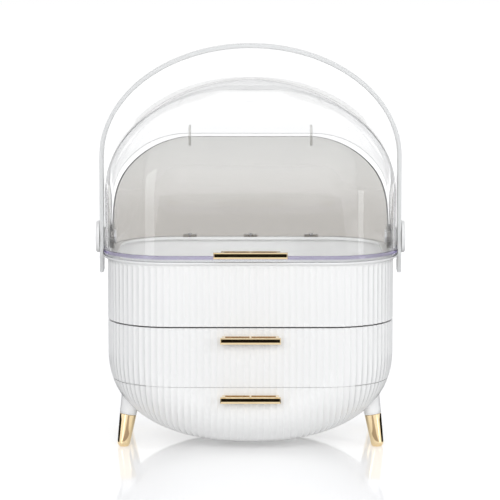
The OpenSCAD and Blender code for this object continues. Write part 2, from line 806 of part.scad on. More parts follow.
// Half-section of a bar of a given width: its back on the Y axis, its front chamfered
module chamfered_bar(width) {
    polygon([[0, -width / 2], [bar_t - bar_chamfer, -width / 2],
             [bar_t, bar_chamfer - width / 2], [bar_t, width / 2 - bar_chamfer],
             [bar_t - bar_chamfer, width / 2], [0, width / 2]]);
}

// A bar on posts in front of a back plate, on a face at depth face_y
module pull(bar_l, plate_l, face_y, z) {
    back_y = -face_y - pull_seat;
    bar_y = back_y - plate_t - finger_gap;
    post_z = z + bar_h / 2 - pull_post_h;
    color(gold) difference() {
        union() {
            translate([0, bar_y, z]) intersection() {
                across(bar_l) mirror([1, 0]) chamfered_bar(bar_h);
                translate([0, 0, -bar_h]) linear_extrude(height = 2 * bar_h)
                    rotate(-90) chamfered_bar(bar_l);
            }
            translate([-plate_l / 2, back_y - plate_t, post_z]) cube([plate_l, plate_t, pull_post_h]);
            for (place = [[0, middle_post_w], [(plate_l - pull_post_w) / 2, pull_post_w],
                          [-(plate_l - pull_post_w) / 2, pull_post_w]])
                translate([place[0] - place[1] / 2, bar_y - fuse, post_z])
                    cube([place[1], finger_gap + plate_t + fuse, pull_post_h]);
        }
        pull_screw_places(plate_l, face_y, z) cylinder(h = pull_screw_l + past, r = pull_screw_r + pin_play);
    }
}

// Screws of a pull, whose heads bear on a wall's inner face in_t behind the pull's face
module pull_screws(plate_l, face_y, z, in_t) {
    color(steel) pull_screw_places(plate_l, face_y - in_t, z) {
        translate([0, 0, -head_t]) cylinder(h = head_t, r = 2 * pull_screw_r);
        translate([0, 0, -fuse]) cylinder(h = fuse + in_t + pull_screw_l, r = pull_screw_r);
    }
}

module lid_pull() { pull(lid_bar_l, lid_plate_l, lid_d, lid_pull_z); }
module lid_pull_screws() { pull_screws(lid_plate_l, lid_d, lid_pull_z, clear_t); }

// ---- Drawers ----

module front_screw_holes(z) {
    pull_screw_places(drawer_plate_l, half_d, z)
        translate([0, 0, -half_d / 2]) cylinder(h = half_d, r = pull_screw_r + screw_room);
}

// Depth from a drawer front's face to the inside of the box behind it
front_and_box_t = wall_t + box_joint + box_t;

module upper_drawer_front() {
    color(white) difference() {
        intersection() {
            casing_wall(lower_seam_z + front_gap / 2);
            front_window(-front_gap / 2);
        }
        front_screw_holes(upper_pull_z);
    }
}

module lower_drawer_front() {
    color(white) difference() {
        intersection() {
            bowl_wall(lower_seam_z - front_gap / 2);
            front_window(-front_gap / 2);
        }
        front_screw_holes(lower_pull_z);
    }
}

box_half_w = plan_x(front_u, 0) - box_edge;
upper_box_z = shelf_top_z + runner_t + slide_play;
upper_box_top_z = upper_seam_z - upper_box_drop;
upper_box_back = half_d - upper_box_in;
lower_box_z = bowl_bottom_z + lower_box_rise;
lower_box_top_z = lower_seam_z - lower_box_drop;
lower_box_back = half_d - lower_box_in;
box_flange_z = lower_box_top_z - box_flange_drop;
runner_reach = half_d - runner_in;

// Outline of the upper box, drawn in by an inset
module upper_box_outline(inset) {
    intersection() {
        polygon(flat(inside_ring(casing_low_z, wall_t + box_joint + inset)));
        translate([inset - box_half_w, -half_d])
            square([2 * (box_half_w - inset), half_d + upper_box_back - inset]);
    }
}

module upper_drawer_box() {
    color(white) difference() {
        translate([0, 0, upper_box_z]) linear_extrude(height = upper_box_top_z - upper_box_z)
            upper_box_outline(0);
        translate([0, 0, upper_box_z + box_t]) linear_extrude(height = upper_box_top_z)
            upper_box_outline(box_t);
        front_screw_holes(upper_pull_z);
    }
}

// Half of the trough's cross-section, drawn in by an inset, from floor to rim
function trough_side(inset) =
    [for (z = ring_heights(lower_box_z + inset, lower_box_top_z, bowl_bands))
        [min(box_half_w, line_x(z - inset, front_u, 0) - box_room) - inset, z]];

module trough(inset, top) {
    side = trough_side(inset);
    right = concat(side, [[side[len(side) - 1][0], top]]);
    intersection() {
        forward(lower_box_back - inset, far)
            polygon(concat(right, [for (i = [len(right) - 1 : -1 : 0]) [-right[i][0], right[i][1]]]));
        bowl_space(wall_t + box_joint + inset);
    }
}

module lower_drawer_box() {
    flange_reach = box_half_w + box_flange_w;
    color(white) difference() {
        union() {
            trough(0, lower_box_top_z);
            translate([0, -runner_reach, 0]) for (s = [-1, 1])
                translate([s > 0 ? box_half_w - box_t : -flange_reach, 0, box_flange_z])
                    cube([box_flange_w + box_t, 2 * runner_reach, box_t]);
        }
        trough(box_t, far);
        front_screw_holes(lower_pull_z);
    }
}

// Runner under the upper box: a foot under the box and a guide beside it
module upper_runner(s) {
    color(white) mirror([s < 0 ? 1 : 0, 0, 0])
        translate([box_half_w + guide_play, runner_reach, shelf_top_z]) rotate([90, 0, 0])
            linear_extrude(height = 2 * runner_reach) {
                translate([-runner_foot, 0]) square([runner_foot + runner_t, runner_t]);
                square([runner_t, runner_h]);
            }
}

// Runner over the lower box: a web hung from the shelf, with a foot under the box's flange
module lower_runner(s) {
    web_x = box_half_w + box_flange_w + guide_play;
    foot_z = box_flange_z - slide_play - runner_t;
    color(white) mirror([s < 0 ? 1 : 0, 0, 0])
        translate([web_x, runner_reach, 0]) rotate([90, 0, 0])
            linear_extrude(height = 2 * runner_reach) {
                translate([0, foot_z]) square([runner_t, shelf_z - foot_z]);
                translate([guide_play / 2 - box_flange_w, foot_z])
                    square([box_flange_w + runner_t / 2, runner_t]);
            }
}

module upper_runner_left() { upper_runner(-1); }
module upper_runner_right() { upper_runner(1); }
module lower_runner_left() { lower_runner(-1); }
module lower_runner_right() { lower_runner(1); }

module upper_drawer_pull() { pull(drawer_bar_l, drawer_plate_l, half_d, upper_pull_z); }
module lower_drawer_pull() { pull(drawer_bar_l, drawer_plate_l, half_d, lower_pull_z); }
module upper_drawer_screws() { pull_screws(drawer_plate_l, half_d, upper_pull_z, front_and_box_t); }
module lower_drawer_screws() { pull_screws(drawer_plate_l, half_d, lower_pull_z, front_and_box_t); }

// ---- Legs ----

// How far a tip's shape runs on below the ground before its foot is cut level
foot_cut = 1;

module leg_tip(sx, sy) {
    side = (tip_top_r - tip_foot_r) / tip_h;
    color(gold) difference() {
        on_leg(sx, sy) difference() {
            rotate_extrude() {
                polygon([[0, -foot_cut], [tip_foot_r - tip_round, -foot_cut],
                         [tip_foot_r - tip_round, tip_round - foot_cut],
                         [tip_foot_r, tip_round - foot_cut], [tip_top_r, tip_h], [0, tip_h]]);
                translate([tip_foot_r - tip_round, tip_round - foot_cut]) circle(r = tip_round);
            }
            translate([0, 0, tip_h + socket_h - leg_screw_l - past])
                cylinder(h = leg_screw_l, r = leg_screw_r + pin_play);
        }
        translate([0, 0, -far]) linear_extrude(height = far) square(4 * far, center = true);
    }
}

module leg_screws() {
    color(steel) for (sx = [-1, 1], sy = [-1, 1])
        on_leg(sx, sy) translate([0, 0, tip_h + socket_h]) screw(leg_screw_r, leg_screw_l);
}

module leg_tip_front_left() { leg_tip(-1, -1); }
module leg_tip_front_right() { leg_tip(1, -1); }
module leg_tip_back_left() { leg_tip(-1, 1); }
module leg_tip_back_right() { leg_tip(1, 1); }

// ---- Assembly ----

translate([0, frame_y, 0]) {
    base_shell();
    middle_shelf();
    middle_shell();
    tray();
    tie_screws();
    rear_shell();
    rear_shell_screws();
    pivot_pin_left();
    pivot_pin_right();
    pivot_washer_left();
    pivot_washer_right();
    pivot_cap_left();
    pivot_cap_right();
    upper_runner_left();
    upper_runner_right();
    lower_runner_left();
    lower_runner_right();
    leg_tip_front_left();
    leg_tip_front_right();
    leg_tip_back_left();
    leg_tip_back_right();
    leg_screws();
    lid();
    lid_pull();
    lid_pull_screws();
    handle();
    upper_drawer_front();
    upper_drawer_box();
    upper_drawer_pull();
    upper_drawer_screws();
    lower_drawer_front();
    lower_drawer_box();
    lower_drawer_pull();
    lower_drawer_screws();
}
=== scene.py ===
"""Dustproof makeup organizer, dressed piece by piece.

A ribbed bowl on four gold-tipped legs carries two drawers and an open tray. A clear hood
covers the tray: its front is a lid that tips back on two side pivots, and a carrying handle
swings on the same pivots. Lengths are in metres, +Z is up and the drawers open towards -Y.
"""

from __future__ import annotations

import sys

import logging
import math
from dataclasses import dataclass, field
from enum import Enum
from functools import cached_property
from typing import Any, Callable, Sequence

import bmesh
import bpy
from mathutils import Matrix, Vector


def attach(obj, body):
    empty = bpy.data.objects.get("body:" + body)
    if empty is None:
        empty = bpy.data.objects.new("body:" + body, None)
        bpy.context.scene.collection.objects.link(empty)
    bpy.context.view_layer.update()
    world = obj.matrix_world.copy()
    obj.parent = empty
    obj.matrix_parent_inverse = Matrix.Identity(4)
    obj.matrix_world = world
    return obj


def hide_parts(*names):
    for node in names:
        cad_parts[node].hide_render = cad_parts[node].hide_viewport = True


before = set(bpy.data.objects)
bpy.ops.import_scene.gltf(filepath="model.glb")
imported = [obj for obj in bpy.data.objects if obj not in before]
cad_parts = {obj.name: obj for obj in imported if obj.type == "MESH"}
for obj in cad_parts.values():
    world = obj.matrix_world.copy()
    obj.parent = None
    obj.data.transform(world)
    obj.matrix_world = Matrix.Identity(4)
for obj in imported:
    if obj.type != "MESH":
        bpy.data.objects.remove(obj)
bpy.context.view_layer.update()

Colour = tuple[float, float, float]

MM = 0.001
LOG = logging.getLogger("organizer")
# The materials made so far, by name
MADE: dict[str, bpy.types.Material] = {}

# The body's middle lies behind the frame's middle by this much
MIDDLE_Y = 6.65 * MM
# The height of the pivots that lid and handle share
PIVOT_Z = 203 * MM
# The height of the tray's rim
RIM_Z = 190.5 * MM
# The front lip's overhang, and where it begins in front of the pivots
LIP_REACH = 4.8 * MM
LIP_START = 22 * MM

# Vertices nearer than this are one, in a finished piece and at a dome's crown
WELD = 2e-6
CROWN_WELD = 1e-6
# The tolerance of cuts and of closed turns
CUT = 1e-7
# The least value that a root is taken of
TINY = 1e-9
# The steps across a softened edge
EDGE_STEPS = 2
# A rounding takes up at most one part in this many of an outline's side
SIDE_PARTS = 2.2
# The stretch of a noise pattern that most of its values lie in
NOISE_MIDDLE = (0.3, 0.7)
# The colour sockets of a mix node, which share their names with its other sockets
MIX_LOW, MIX_HIGH, MIX_RESULT = 6, 7, 2
# The rays that see the white of the studio
SEEING_RAYS = ("Is Camera Ray", "Is Transmission Ray", "Is Glossy Ray")


class Body(Enum):
    """The bodies that pieces ride on."""

    ORGANIZER = "organizer"
    LID = "lid"
    HANDLE = "handle"
    UPPER = "upper_drawer"
    LOWER = "lower_drawer"


class Slot(Enum):
    """The record's material slots."""

    WHITE = "white_plastic"
    CLEAR = "clear_plastic"
    HANDLE = "handle_plastic"
    GOLD = "gold_plating"
    STEEL = "steel"


# ---- Finishes ----


class Recipe:
    """A material or a world in the making, with short calls for its nodes."""

    def __init__(self, owner: bpy.types.Material | bpy.types.World,
                 output: str = "ShaderNodeOutputMaterial") -> None:
        """Empties the owner's nodes.

        Args:
            owner: The material or the world.
            output: The type of its output node.
        """
        self.owner = owner
        owner.use_nodes = True
        self.tree = owner.node_tree
        self.tree.nodes.clear()
        self.output = self.tree.nodes.new(output)

    @classmethod
    def material(cls, name: str) -> Recipe:
        """Starts a new material of the given name."""
        return cls(bpy.data.materials.new(name))

    @cached_property
    def place(self) -> bpy.types.NodeSocket:
        """The Object coordinates."""
        return self.node("ShaderNodeTexCoord").outputs["Object"]

    def feed(self, socket: bpy.types.NodeSocket, value: Any) -> None:
        """Links an output to an input, or sets the input.

        Args:
            socket: The input.
            value: An output socket, a number, a vector or a colour.
        """
        if isinstance(value, bpy.types.NodeSocket):
            self.tree.links.new(value, socket)
        elif socket.type == "RGBA":
            socket.default_value = (*value, 1.0)
        else:
            socket.default_value = value

    def node(self, kind: str, settings: dict[str, Any] | None = None,
             **sockets: Any) -> bpy.types.Node:
        """Adds a node.

        Args:
            kind: The node's type.
            settings: Properties to set on the node.
            **sockets: Values or output sockets for its inputs, with _ for a space.

        Returns:
            The new node.
        """
        made = self.tree.nodes.new(kind)
        for key, value in (settings or {}).items():
            setattr(made, key, value)
        for key, value in sockets.items():
            self.feed(made.inputs[key.replace("_", " ")], value)
        return made

    def noise(self, scale: float, detail: float = 2.0, draw: float | None = None
              ) -> bpy.types.NodeSocket:
        """A noise pattern fixed to the piece.

        Args:
            scale: Its scale, per metre.
            detail: Its octaves.
            draw: The share of its scale that is left along Z, if it is drawn out.

        Returns:
            The pattern's output, 0 to 1.
        """
        place = self.place
        if draw is not None:
            place = self.node("ShaderNodeMapping", Vector=place,
                              Scale=(1.0, 1.0, draw)).outputs[0]
        return self.node("ShaderNodeTexNoise", Vector=place, Scale=scale,
                         Detail=detail).outputs[0]

    def ramp(self, value: bpy.types.NodeSocket, source: Sequence[float],
             target: Sequence[float] = (0.0, 1.0), shape: str = "LINEAR"
             ) -> bpy.types.NodeSocket:
        """Turns one range of a value into another.

        Args:
            value: The value's output.
            source: The ends of its range.
            target: What they turn into.
            shape: How the range runs from one end to the other.

        Returns:
            The output of the new range.
        """
        return self.node("ShaderNodeMapRange", {"interpolation_type": shape}, Value=value,
                         From_Min=source[0], From_Max=source[1],
                         To_Min=target[0], To_Max=target[1]).outputs[0]

    def tint(self, pattern: bpy.types.NodeSocket, low: Sequence[float],
             high: Sequence[float] | bpy.types.NodeSocket) -> bpy.types.NodeSocket:
        """Blends two colours by a pattern.

        Args:
            pattern: The pattern's output.
            low: The colour where it is 0.
            high: The colour, or a colour's output, where it is 1.

        Returns:
            The colour's output.
        """
        made = self.node("ShaderNodeMix", {"data_type": "RGBA"}, Factor=pattern)
        self.feed(made.inputs[MIX_LOW], low)
        self.feed(made.inputs[MIX_HIGH], high)
        return made.outputs[MIX_RESULT]

    def bump(self, pattern: bpy.types.NodeSocket, height: float, strength: float
             ) -> bpy.types.NodeSocket:
        """Raises the surface by a pattern.

        Args:
            pattern: The pattern's output.
            height: The pattern's height in metres.
            strength: The share of it that shows.

        Returns:
            The normal's output.
        """
        return self.node("ShaderNodeBump", Height=pattern, Distance=height,
                         Strength=strength).outputs[0]

    def either(self, share: bpy.types.NodeSocket, first: bpy.types.NodeSocket,
               second: bpy.types.NodeSocket) -> bpy.types.NodeSocket:
        """Picks between two shaders.

        Args:
            share: An output that is 0 for the first and 1 for the second.
            first: The first shader.
            second: The second shader.

        Returns:
            The shader's output.
        """
        mix = self.node("ShaderNodeMixShader", Fac=share)
        self.feed(mix.inputs[1], first)
        self.feed(mix.inputs[2], second)
        return mix.outputs[0]

    def upper_side(self, shader: bpy.types.NodeSocket) -> bpy.types.NodeSocket:
        """Keeps a shader on a sheet's upper side and makes its underside clear.

        Args:
            shader: The shader.

        Returns:
            The shader's output.
        """
        clear = self.node("ShaderNodeBsdfTransparent").outputs[0]
        under = self.node("ShaderNodeNewGeometry").outputs["Backfacing"]
        return self.either(under, shader, clear)

    def any_ray(self, kinds: Sequence[str]) -> bpy.types.NodeSocket:
        """Tells rays of some kinds from all others.

        Args:
            kinds: The names of the kinds.

        Returns:
            An output that is 1 for a ray of any of them, and 0 for others.
        """
        path = self.node("ShaderNodeLightPath")
        found = path.outputs[kinds[0]]
        for kind in kinds[1:]:
            larger = self.node("ShaderNodeMath", {"operation": "MAXIMUM"})
            self.feed(larger.inputs[0], found)
            self.feed(larger.inputs[1], path.outputs[kind])
            found = larger.outputs[0]
        return found

    def done(self, shader: bpy.types.NodeSocket) -> bpy.types.Material | bpy.types.World:
        """Connects the surface.

        Args:
            shader: The surface's shader.

        Returns:
            The finished material or world.
        """
        self.feed(self.output.inputs["Surface"], shader)
        return self.owner


@dataclass(frozen=True)
class Finish:
    """A finish of the object.

    Attributes:
        name: The material's name.
        slot: The record's slot that it belongs to. Not used.
    """

    name: str
    slot: Slot

    def mixed(self, recipe: Recipe) -> bpy.types.NodeSocket:
        """The finish's shader. Each kind of finish gives its own.

        Args:
            recipe: The material in the making.

        Returns:
            The shader's output.
        """
        raise NotImplementedError

    def material(self) -> bpy.types.Material:
        """The finish's material, made once.

        Returns:
            The material.
        """
        if self.name not in MADE:
            recipe = Recipe.material(self.name)
            MADE[self.name] = recipe.done(self.mixed(recipe))
        return MADE[self.name]


@dataclass(frozen=True)
class Moulded(Finish):
    """Glossy moulded plastic.

    Attributes:
        light: The colour of most of the surface.
        shade: The colour of its slightly darker clouds.
        rough: The lowest and highest roughness.
        clouds: The scale of the clouds, per metre.
        flow: The scale of the flow lines, per metre.
        flow_draw: The share of that scale which is left along Z.
        grain: The scale of the faint moulding texture, per metre.
        grain_h: The texture's height.
        grain_share: The share of it that shows.
        index: The plastic's index of refraction.
    """

    light: Colour = (0.87, 0.87, 0.862)
    shade: Colour = (0.845, 0.845, 0.838)
    rough: tuple[float, float] = (0.13, 0.19)
    clouds: float = 9.0
    flow: float = 34.0
    flow_draw: float = 0.22
    grain: float = 1100.0
    grain_h: float = 0.02 * MM
    grain_share: float = 0.35
    index: float = 1.49

    def mixed(self, recipe: Recipe) -> bpy.types.NodeSocket:
        """Clouded plastic with faint flow lines and a fine moulding grain.

        Args:
            recipe: The material in the making.

        Returns:
            The shader's output.
        """
        clouds = recipe.noise(self.clouds, detail=3.0)
        flow = recipe.noise(self.flow, draw=self.flow_draw)
        grain = recipe.noise(self.grain)
        return recipe.node(
            "ShaderNodeBsdfPrincipled",
            Base_Color=recipe.tint(clouds, self.shade, self.light),
            Roughness=recipe.ramp(flow, NOISE_MIDDLE, self.rough),
            Normal=recipe.bump(grain, self.grain_h, self.grain_share),
            IOR=self.index,
        ).outputs[0]


@dataclass(frozen=True)
class Clear(Finish):
    """Clear moulded plastic that lamps shine through.

    Attributes:
        light: The colour of light that passes one wall.
        shade: The same where the moulding is a little denser.
        shadow: The colour of the light left behind it.
        rough: The lowest and highest roughness.
        index: The plastic's index of refraction.
        flow: The scale of the flow lines, per metre.
        flow_draw: The share of that scale which is left along Z.
        wave: The scale of the wall's faint waves, per metre.
        wave_h: The waves' height.
        wave_share: The share of it that shows.
        deep: The colour towards the piece's foot, if it differs there.
        deep_z: Heights up to which it has that colour, and from which it hasn't any more.
    """

    light: Colour = (0.985, 0.988, 0.99)
    shade: Colour = (0.955, 0.96, 0.966)
    shadow: Colour = (0.93, 0.935, 0.94)
    rough: tuple[float, float] = (0.015, 0.05)
    index: float = 1.47
    flow: float = 22.0
    flow_draw: float = 0.3
    wave: float = 60.0
    wave_h: float = 0.012 * MM
    wave_share: float = 0.2
    deep: Colour | None = None
    deep_z: tuple[float, float] = (0.0, 1.0)

    def mixed(self, recipe: Recipe) -> bpy.types.NodeSocket:
        """Clear plastic with faint flow lines and waves, and a thin shadow.

        Args:
            recipe: The material in the making.

        Returns:
            The shader's output.
        """
        flow = recipe.noise(self.flow, draw=self.flow_draw)
        wave = recipe.noise(self.wave, detail=1.0)
        colour = recipe.tint(flow, self.shade, self.light)
        if self.deep is not None:
            height = recipe.node("ShaderNodeSeparateXYZ", Vector=recipe.place).outputs["Z"]
            rise = recipe.ramp(height, self.deep_z, shape="SMOOTHSTEP")
            colour = recipe.tint(rise, self.deep, colour)
        wall = recipe.node(
            "ShaderNodeBsdfPrincipled",
            Base_Color=colour,
            Roughness=recipe.ramp(flow, NOISE_MIDDLE, self.rough),
            Normal=recipe.bump(wave, self.wave_h, self.wave_share),
            IOR=self.index,
            Transmission_Weight=1.0,
        ).outputs[0]
        gone = recipe.node("ShaderNodeBsdfTransparent", Color=self.shadow).outputs[0]
        return recipe.either(recipe.any_ray(("Is Shadow Ray",)), wall, gone)


@dataclass(frozen=True)
class Plated(Finish):
    """Bright metal, plated or bare.

    Attributes:
        light: The metal's colour.
        shade: Its colour where the plating is thinner.
        rough: The lowest and highest roughness.
        clouds: The scale of the thinner places, per metre.
        buffing: The scale of the buffing marks, per metre.
        buffing_draw: The share of that scale which is left along Z.
        buffing_h: The marks' height.
        buffing_share: The share of it that shows.
    """

    light: Colour = (0.90, 0.73, 0.46)
    shade: Colour = (0.84, 0.65, 0.38)
    rough: tuple[float, float] = (0.03, 0.06)
    clouds: float = 60.0
    buffing: float = 500.0
    buffing_draw: float = 0.15
    buffing_h: float = 0.004 * MM
    buffing_share: float = 0.2

    def mixed(self, recipe: Recipe) -> bpy.types.NodeSocket:
        """Polished metal with faint buffing.

        Args:
            recipe: The material in the making.

        Returns:
            The shader's output.
        """
        clouds = recipe.noise(self.clouds, detail=3.0)
        buffing = recipe.noise(self.buffing, draw=self.buffing_draw)
        return recipe.node(
            "ShaderNodeBsdfPrincipled",
            Base_Color=recipe.tint(clouds, self.shade, self.light),
            Metallic=1.0,
            Roughness=recipe.ramp(buffing, NOISE_MIDDLE, self.rough),
            Normal=recipe.bump(buffing, self.buffing_h, self.buffing_share),
        ).outputs[0]


GLOSS_WHITE = Moulded("gloss_white_plastic", Slot.WHITE)
PLAIN_WHITE = Moulded("plain_white_plastic", Slot.WHITE, rough=(0.4, 0.5))
HANDLE_WHITE = Moulded("milky_handle_plastic", Slot.HANDLE, light=(0.73, 0.735, 0.73),
                       shade=(0.70, 0.705, 0.70), rough=(0.13, 0.2))
LID_CLEAR = Clear("lid_clear_plastic", Slot.CLEAR, light=(1.0, 1.0, 1.0),
                  shade=(0.985, 0.987, 0.99), rough=(0.01, 0.03))
REAR_CLEAR = Clear("rear_clear_plastic", Slot.CLEAR, light=(0.64, 0.635, 0.615),
                   shade=(0.60, 0.595, 0.575), rough=(0.05, 0.1),
                   deep=(0.45, 0.43, 0.40), deep_z=(200 * MM, 292 * MM))
FLANGE_CLEAR = Clear("flange_clear_plastic", Slot.CLEAR, light=(0.62, 0.58, 0.76),
                     shade=(0.56, 0.52, 0.71), rough=(0.06, 0.12),
                     deep=(0.93, 0.94, 0.96), deep_z=(192.6 * MM, 194.0 * MM))
GOLD = Plated("polished_gold_plating", Slot.GOLD)
STEEL = Plated("plain_steel", Slot.STEEL, light=(0.78, 0.78, 0.79), shade=(0.68, 0.68, 0.69),
               rough=(0.2, 0.32))


# ---- Shaping ----


def steps(low: float, high: float, count: int) -> list[float]:
    """Evenly spaced values.

    Args:
        low: The first value.
        high: The last value.
        count: How many steps lie between them.

    Returns:
        The values, count + 1 of them.
    """
    return [low + (high - low) * i / count for i in range(count + 1)]


def eased(low: float, high: float, count: int) -> list[float]:
    """Values that crowd together towards the low end.

    Args:
        low: The first value.
        high: The last value.
        count: How many steps lie between them.

    Returns:
        The values, count + 1 of them.
    """
    return [low + (high - low) * (1 - math.cos(math.pi / 2 * i / count))
            for i in range(count + 1)]


def loft(bm: bmesh.types.BMesh, columns: Sequence[Any], rows: Sequence[Any],
         place: Callable[[Any, Any], Vector]) -> None:
    """Lays a grid of faces through the places where columns and rows cross.

    Args:
        bm: The mesh in the making.
        columns: What tells the columns apart, from left to right seen from outside.
        rows: What tells the rows apart, upwards seen from outside.
        place: Gives the place of a column and a row.
    """
    wide, high = len(columns) - 1, len(rows) - 1
    grid = bmesh.ops.create_grid(bm, x_segments=wide, y_segments=high, size=1.0)
    for vert in grid["verts"]:
        column = columns[round((vert.co.x + 1) / 2 * wide)]
        row = rows[round((vert.co.y + 1) / 2 * high)]
        vert.co = place(column, row)


def block(bm: bmesh.types.BMesh, low: Vector, high: Vector, edge: float = 0.0) -> None:
    """Adds a block with rounded edges.

    Args:
        bm: The mesh in the making.
        low: Its lowest corner.
        high: Its highest corner.
        edge: The width of its rounded edges.
    """
    part = bmesh.new()
    bmesh.ops.create_cube(part, size=1.0)
    bmesh.ops.scale(part, vec=high - low, verts=part.verts)
    bmesh.ops.translate(part, vec=(high + low) / 2, verts=part.verts)
    if edge:
        bmesh.ops.bevel(part, geom=part.edges[:], offset=edge, segments=EDGE_STEPS,
                        profile=0.5, affect="EDGES", material=-1)
    joined(bm, part)


def joined(bm: bmesh.types.BMesh, part: bmesh.types.BMesh) -> list[bmesh.types.BMVert]:
    """Adds a finished shape to a mesh in the making.

    Args:
        bm: The mesh in the making.
        part: The shape, which is used up.

    Returns:
        The vertices that were added.
    """
    before = len(bm.verts)
    mesh = bpy.data.meshes.new("part")
    part.to_mesh(mesh)
    part.free()
    bm.from_mesh(mesh)
    bpy.data.meshes.remove(mesh)
    bm.verts.ensure_lookup_table()
    return bm.verts[before:]


def turned(profile: Sequence[tuple[float, float]], sides: int = 64) -> bmesh.types.BMesh:
    """Spins a profile round the Z axis.

    Args:
        profile: Radius and height of each point, with both ends on the axis.
        sides: The steps of a full turn.

    Returns:
        The closed shape.
    """
    part = bmesh.new()
    verts = [part.verts.new((radius, 0, height)) for radius, height in profile]
    edges = [part.edges.new(pair) for pair in zip(verts, verts[1:])]
    bmesh.ops.spin(part, geom=verts + edges, axis=(0, 0, 1), cent=(0, 0, 0),
                   angle=2 * math.pi, steps=sides, use_merge=True)
    bmesh.ops.remove_doubles(part, verts=part.verts, dist=CUT)
    bmesh.ops.recalc_face_normals(part, faces=part.faces)
    return part


def softened(points: Sequence[tuple[float, float]], radius: float, count: int = 3
             ) -> list[tuple[float, float]]:
    """Rounds the inner corners of an open outline.

    Args:
        points: The outline's corners.
        radius: The distance along each side that a rounding takes up.
        count: The steps of a rounding.

    Returns:
        The outline with its corners rounded.
    """
    flat = [Vector(p) for p in points]
    made = [flat[0]]
    for before, corner, after in zip(flat, flat[1:], flat[2:]):
        reach = min(radius, (corner - before).length / SIDE_PARTS,
                    (after - corner).length / SIDE_PARTS)
        start = corner + (before - corner).normalized() * reach
        end = corner + (after - corner).normalized() * reach
        for t in steps(0, 1, count):
            made.append(start.lerp(corner, t).lerp(corner.lerp(end, t), t))
    return [(p.x, p.y) for p in made + [flat[-1]]]


@dataclass(frozen=True)
class Work:
    """How a shape becomes a piece of the object.

    Attributes:
        name: The piece's name.
        body: The body that it rides on.
        finish: Its finish.
        stands_for: The CAD nodes that it stands for.
        wall: The thickness given to an open surface, inwards.
        edge: The width of the rounding along sharp edges.
        edge_angle: The angle past which an edge is rounded, in degrees.
        crisp: The angle past which shading breaks, in degrees.
        closed: Whether the shape is closed, so that its normals can be worked out.
    """

    name: str
    body: Body
    finish: Finish
    stands_for: tuple[str, ...] = ()
    wall: float = 0.0
    edge: float = 0.0
    edge_angle: float = 70.0
    crisp: float = 32.0
    closed: bool = False

    def piece(self, bm: bmesh.types.BMesh) -> bpy.types.Object:
        """Turns a mesh in the making into the piece.

        Args:
            bm: The mesh, which is used up.

        Returns:
            The piece's object.
        """
        bmesh.ops.remove_doubles(bm, verts=bm.verts, dist=WELD)
        if self.closed:
            bmesh.ops.recalc_face_normals(bm, faces=bm.faces)
        for face in bm.faces:
            face.smooth = True
        mesh = bpy.data.meshes.new(self.name)
        bm.to_mesh(mesh)
        bm.free()
        mesh.set_sharp_from_angle(angle=math.radians(self.crisp))
        made = bpy.data.objects.new(self.name, mesh)
        bpy.context.scene.collection.objects.link(made)
        mesh.materials.append(self.finish.material())
        if self.wall:
            solid = made.modifiers.new("wall", "SOLIDIFY")
            solid.thickness, solid.offset = self.wall, -1.0
            solid.use_quality_normals = True
        if self.edge:
            bevel = made.modifiers.new("edge", "BEVEL")
            bevel.width, bevel.segments = self.edge, EDGE_STEPS
            bevel.limit_method, bevel.angle_limit = "ANGLE", math.radians(self.edge_angle)
            bevel.harden_normals = True
        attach(made, self.body.value)
        if self.stands_for:
            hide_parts(*self.stands_for)
        LOG.info("made %s on %s, for %s", self.name, self.body.value,
                 ", ".join(self.stands_for) or "itself")
        return made


def body_place(x: float, y: float, z: float) -> Vector:
    """A place given from the body's middle, on the ground.

    Args:
        x: Distance to the right.
        y: Distance to the back.
        z: Height.

    Returns:
        The place in the frame.
    """
    return Vector((x, y + MIDDLE_Y, z))


def pivot_turn(side: int, x: float) -> Matrix:
    """Puts a turned shape on a pivot, its lower end inwards.

    Args:
        side: -1 for left, 1 for right.
        x: Distance of its lower end from the middle.

    Returns:
        The matrix of its turn and place.
    """
    return (Matrix.Translation(body_place(side * x, 0, PIVOT_Z))
            @ Matrix.Rotation(side * math.pi / 2, 4, "Y"))


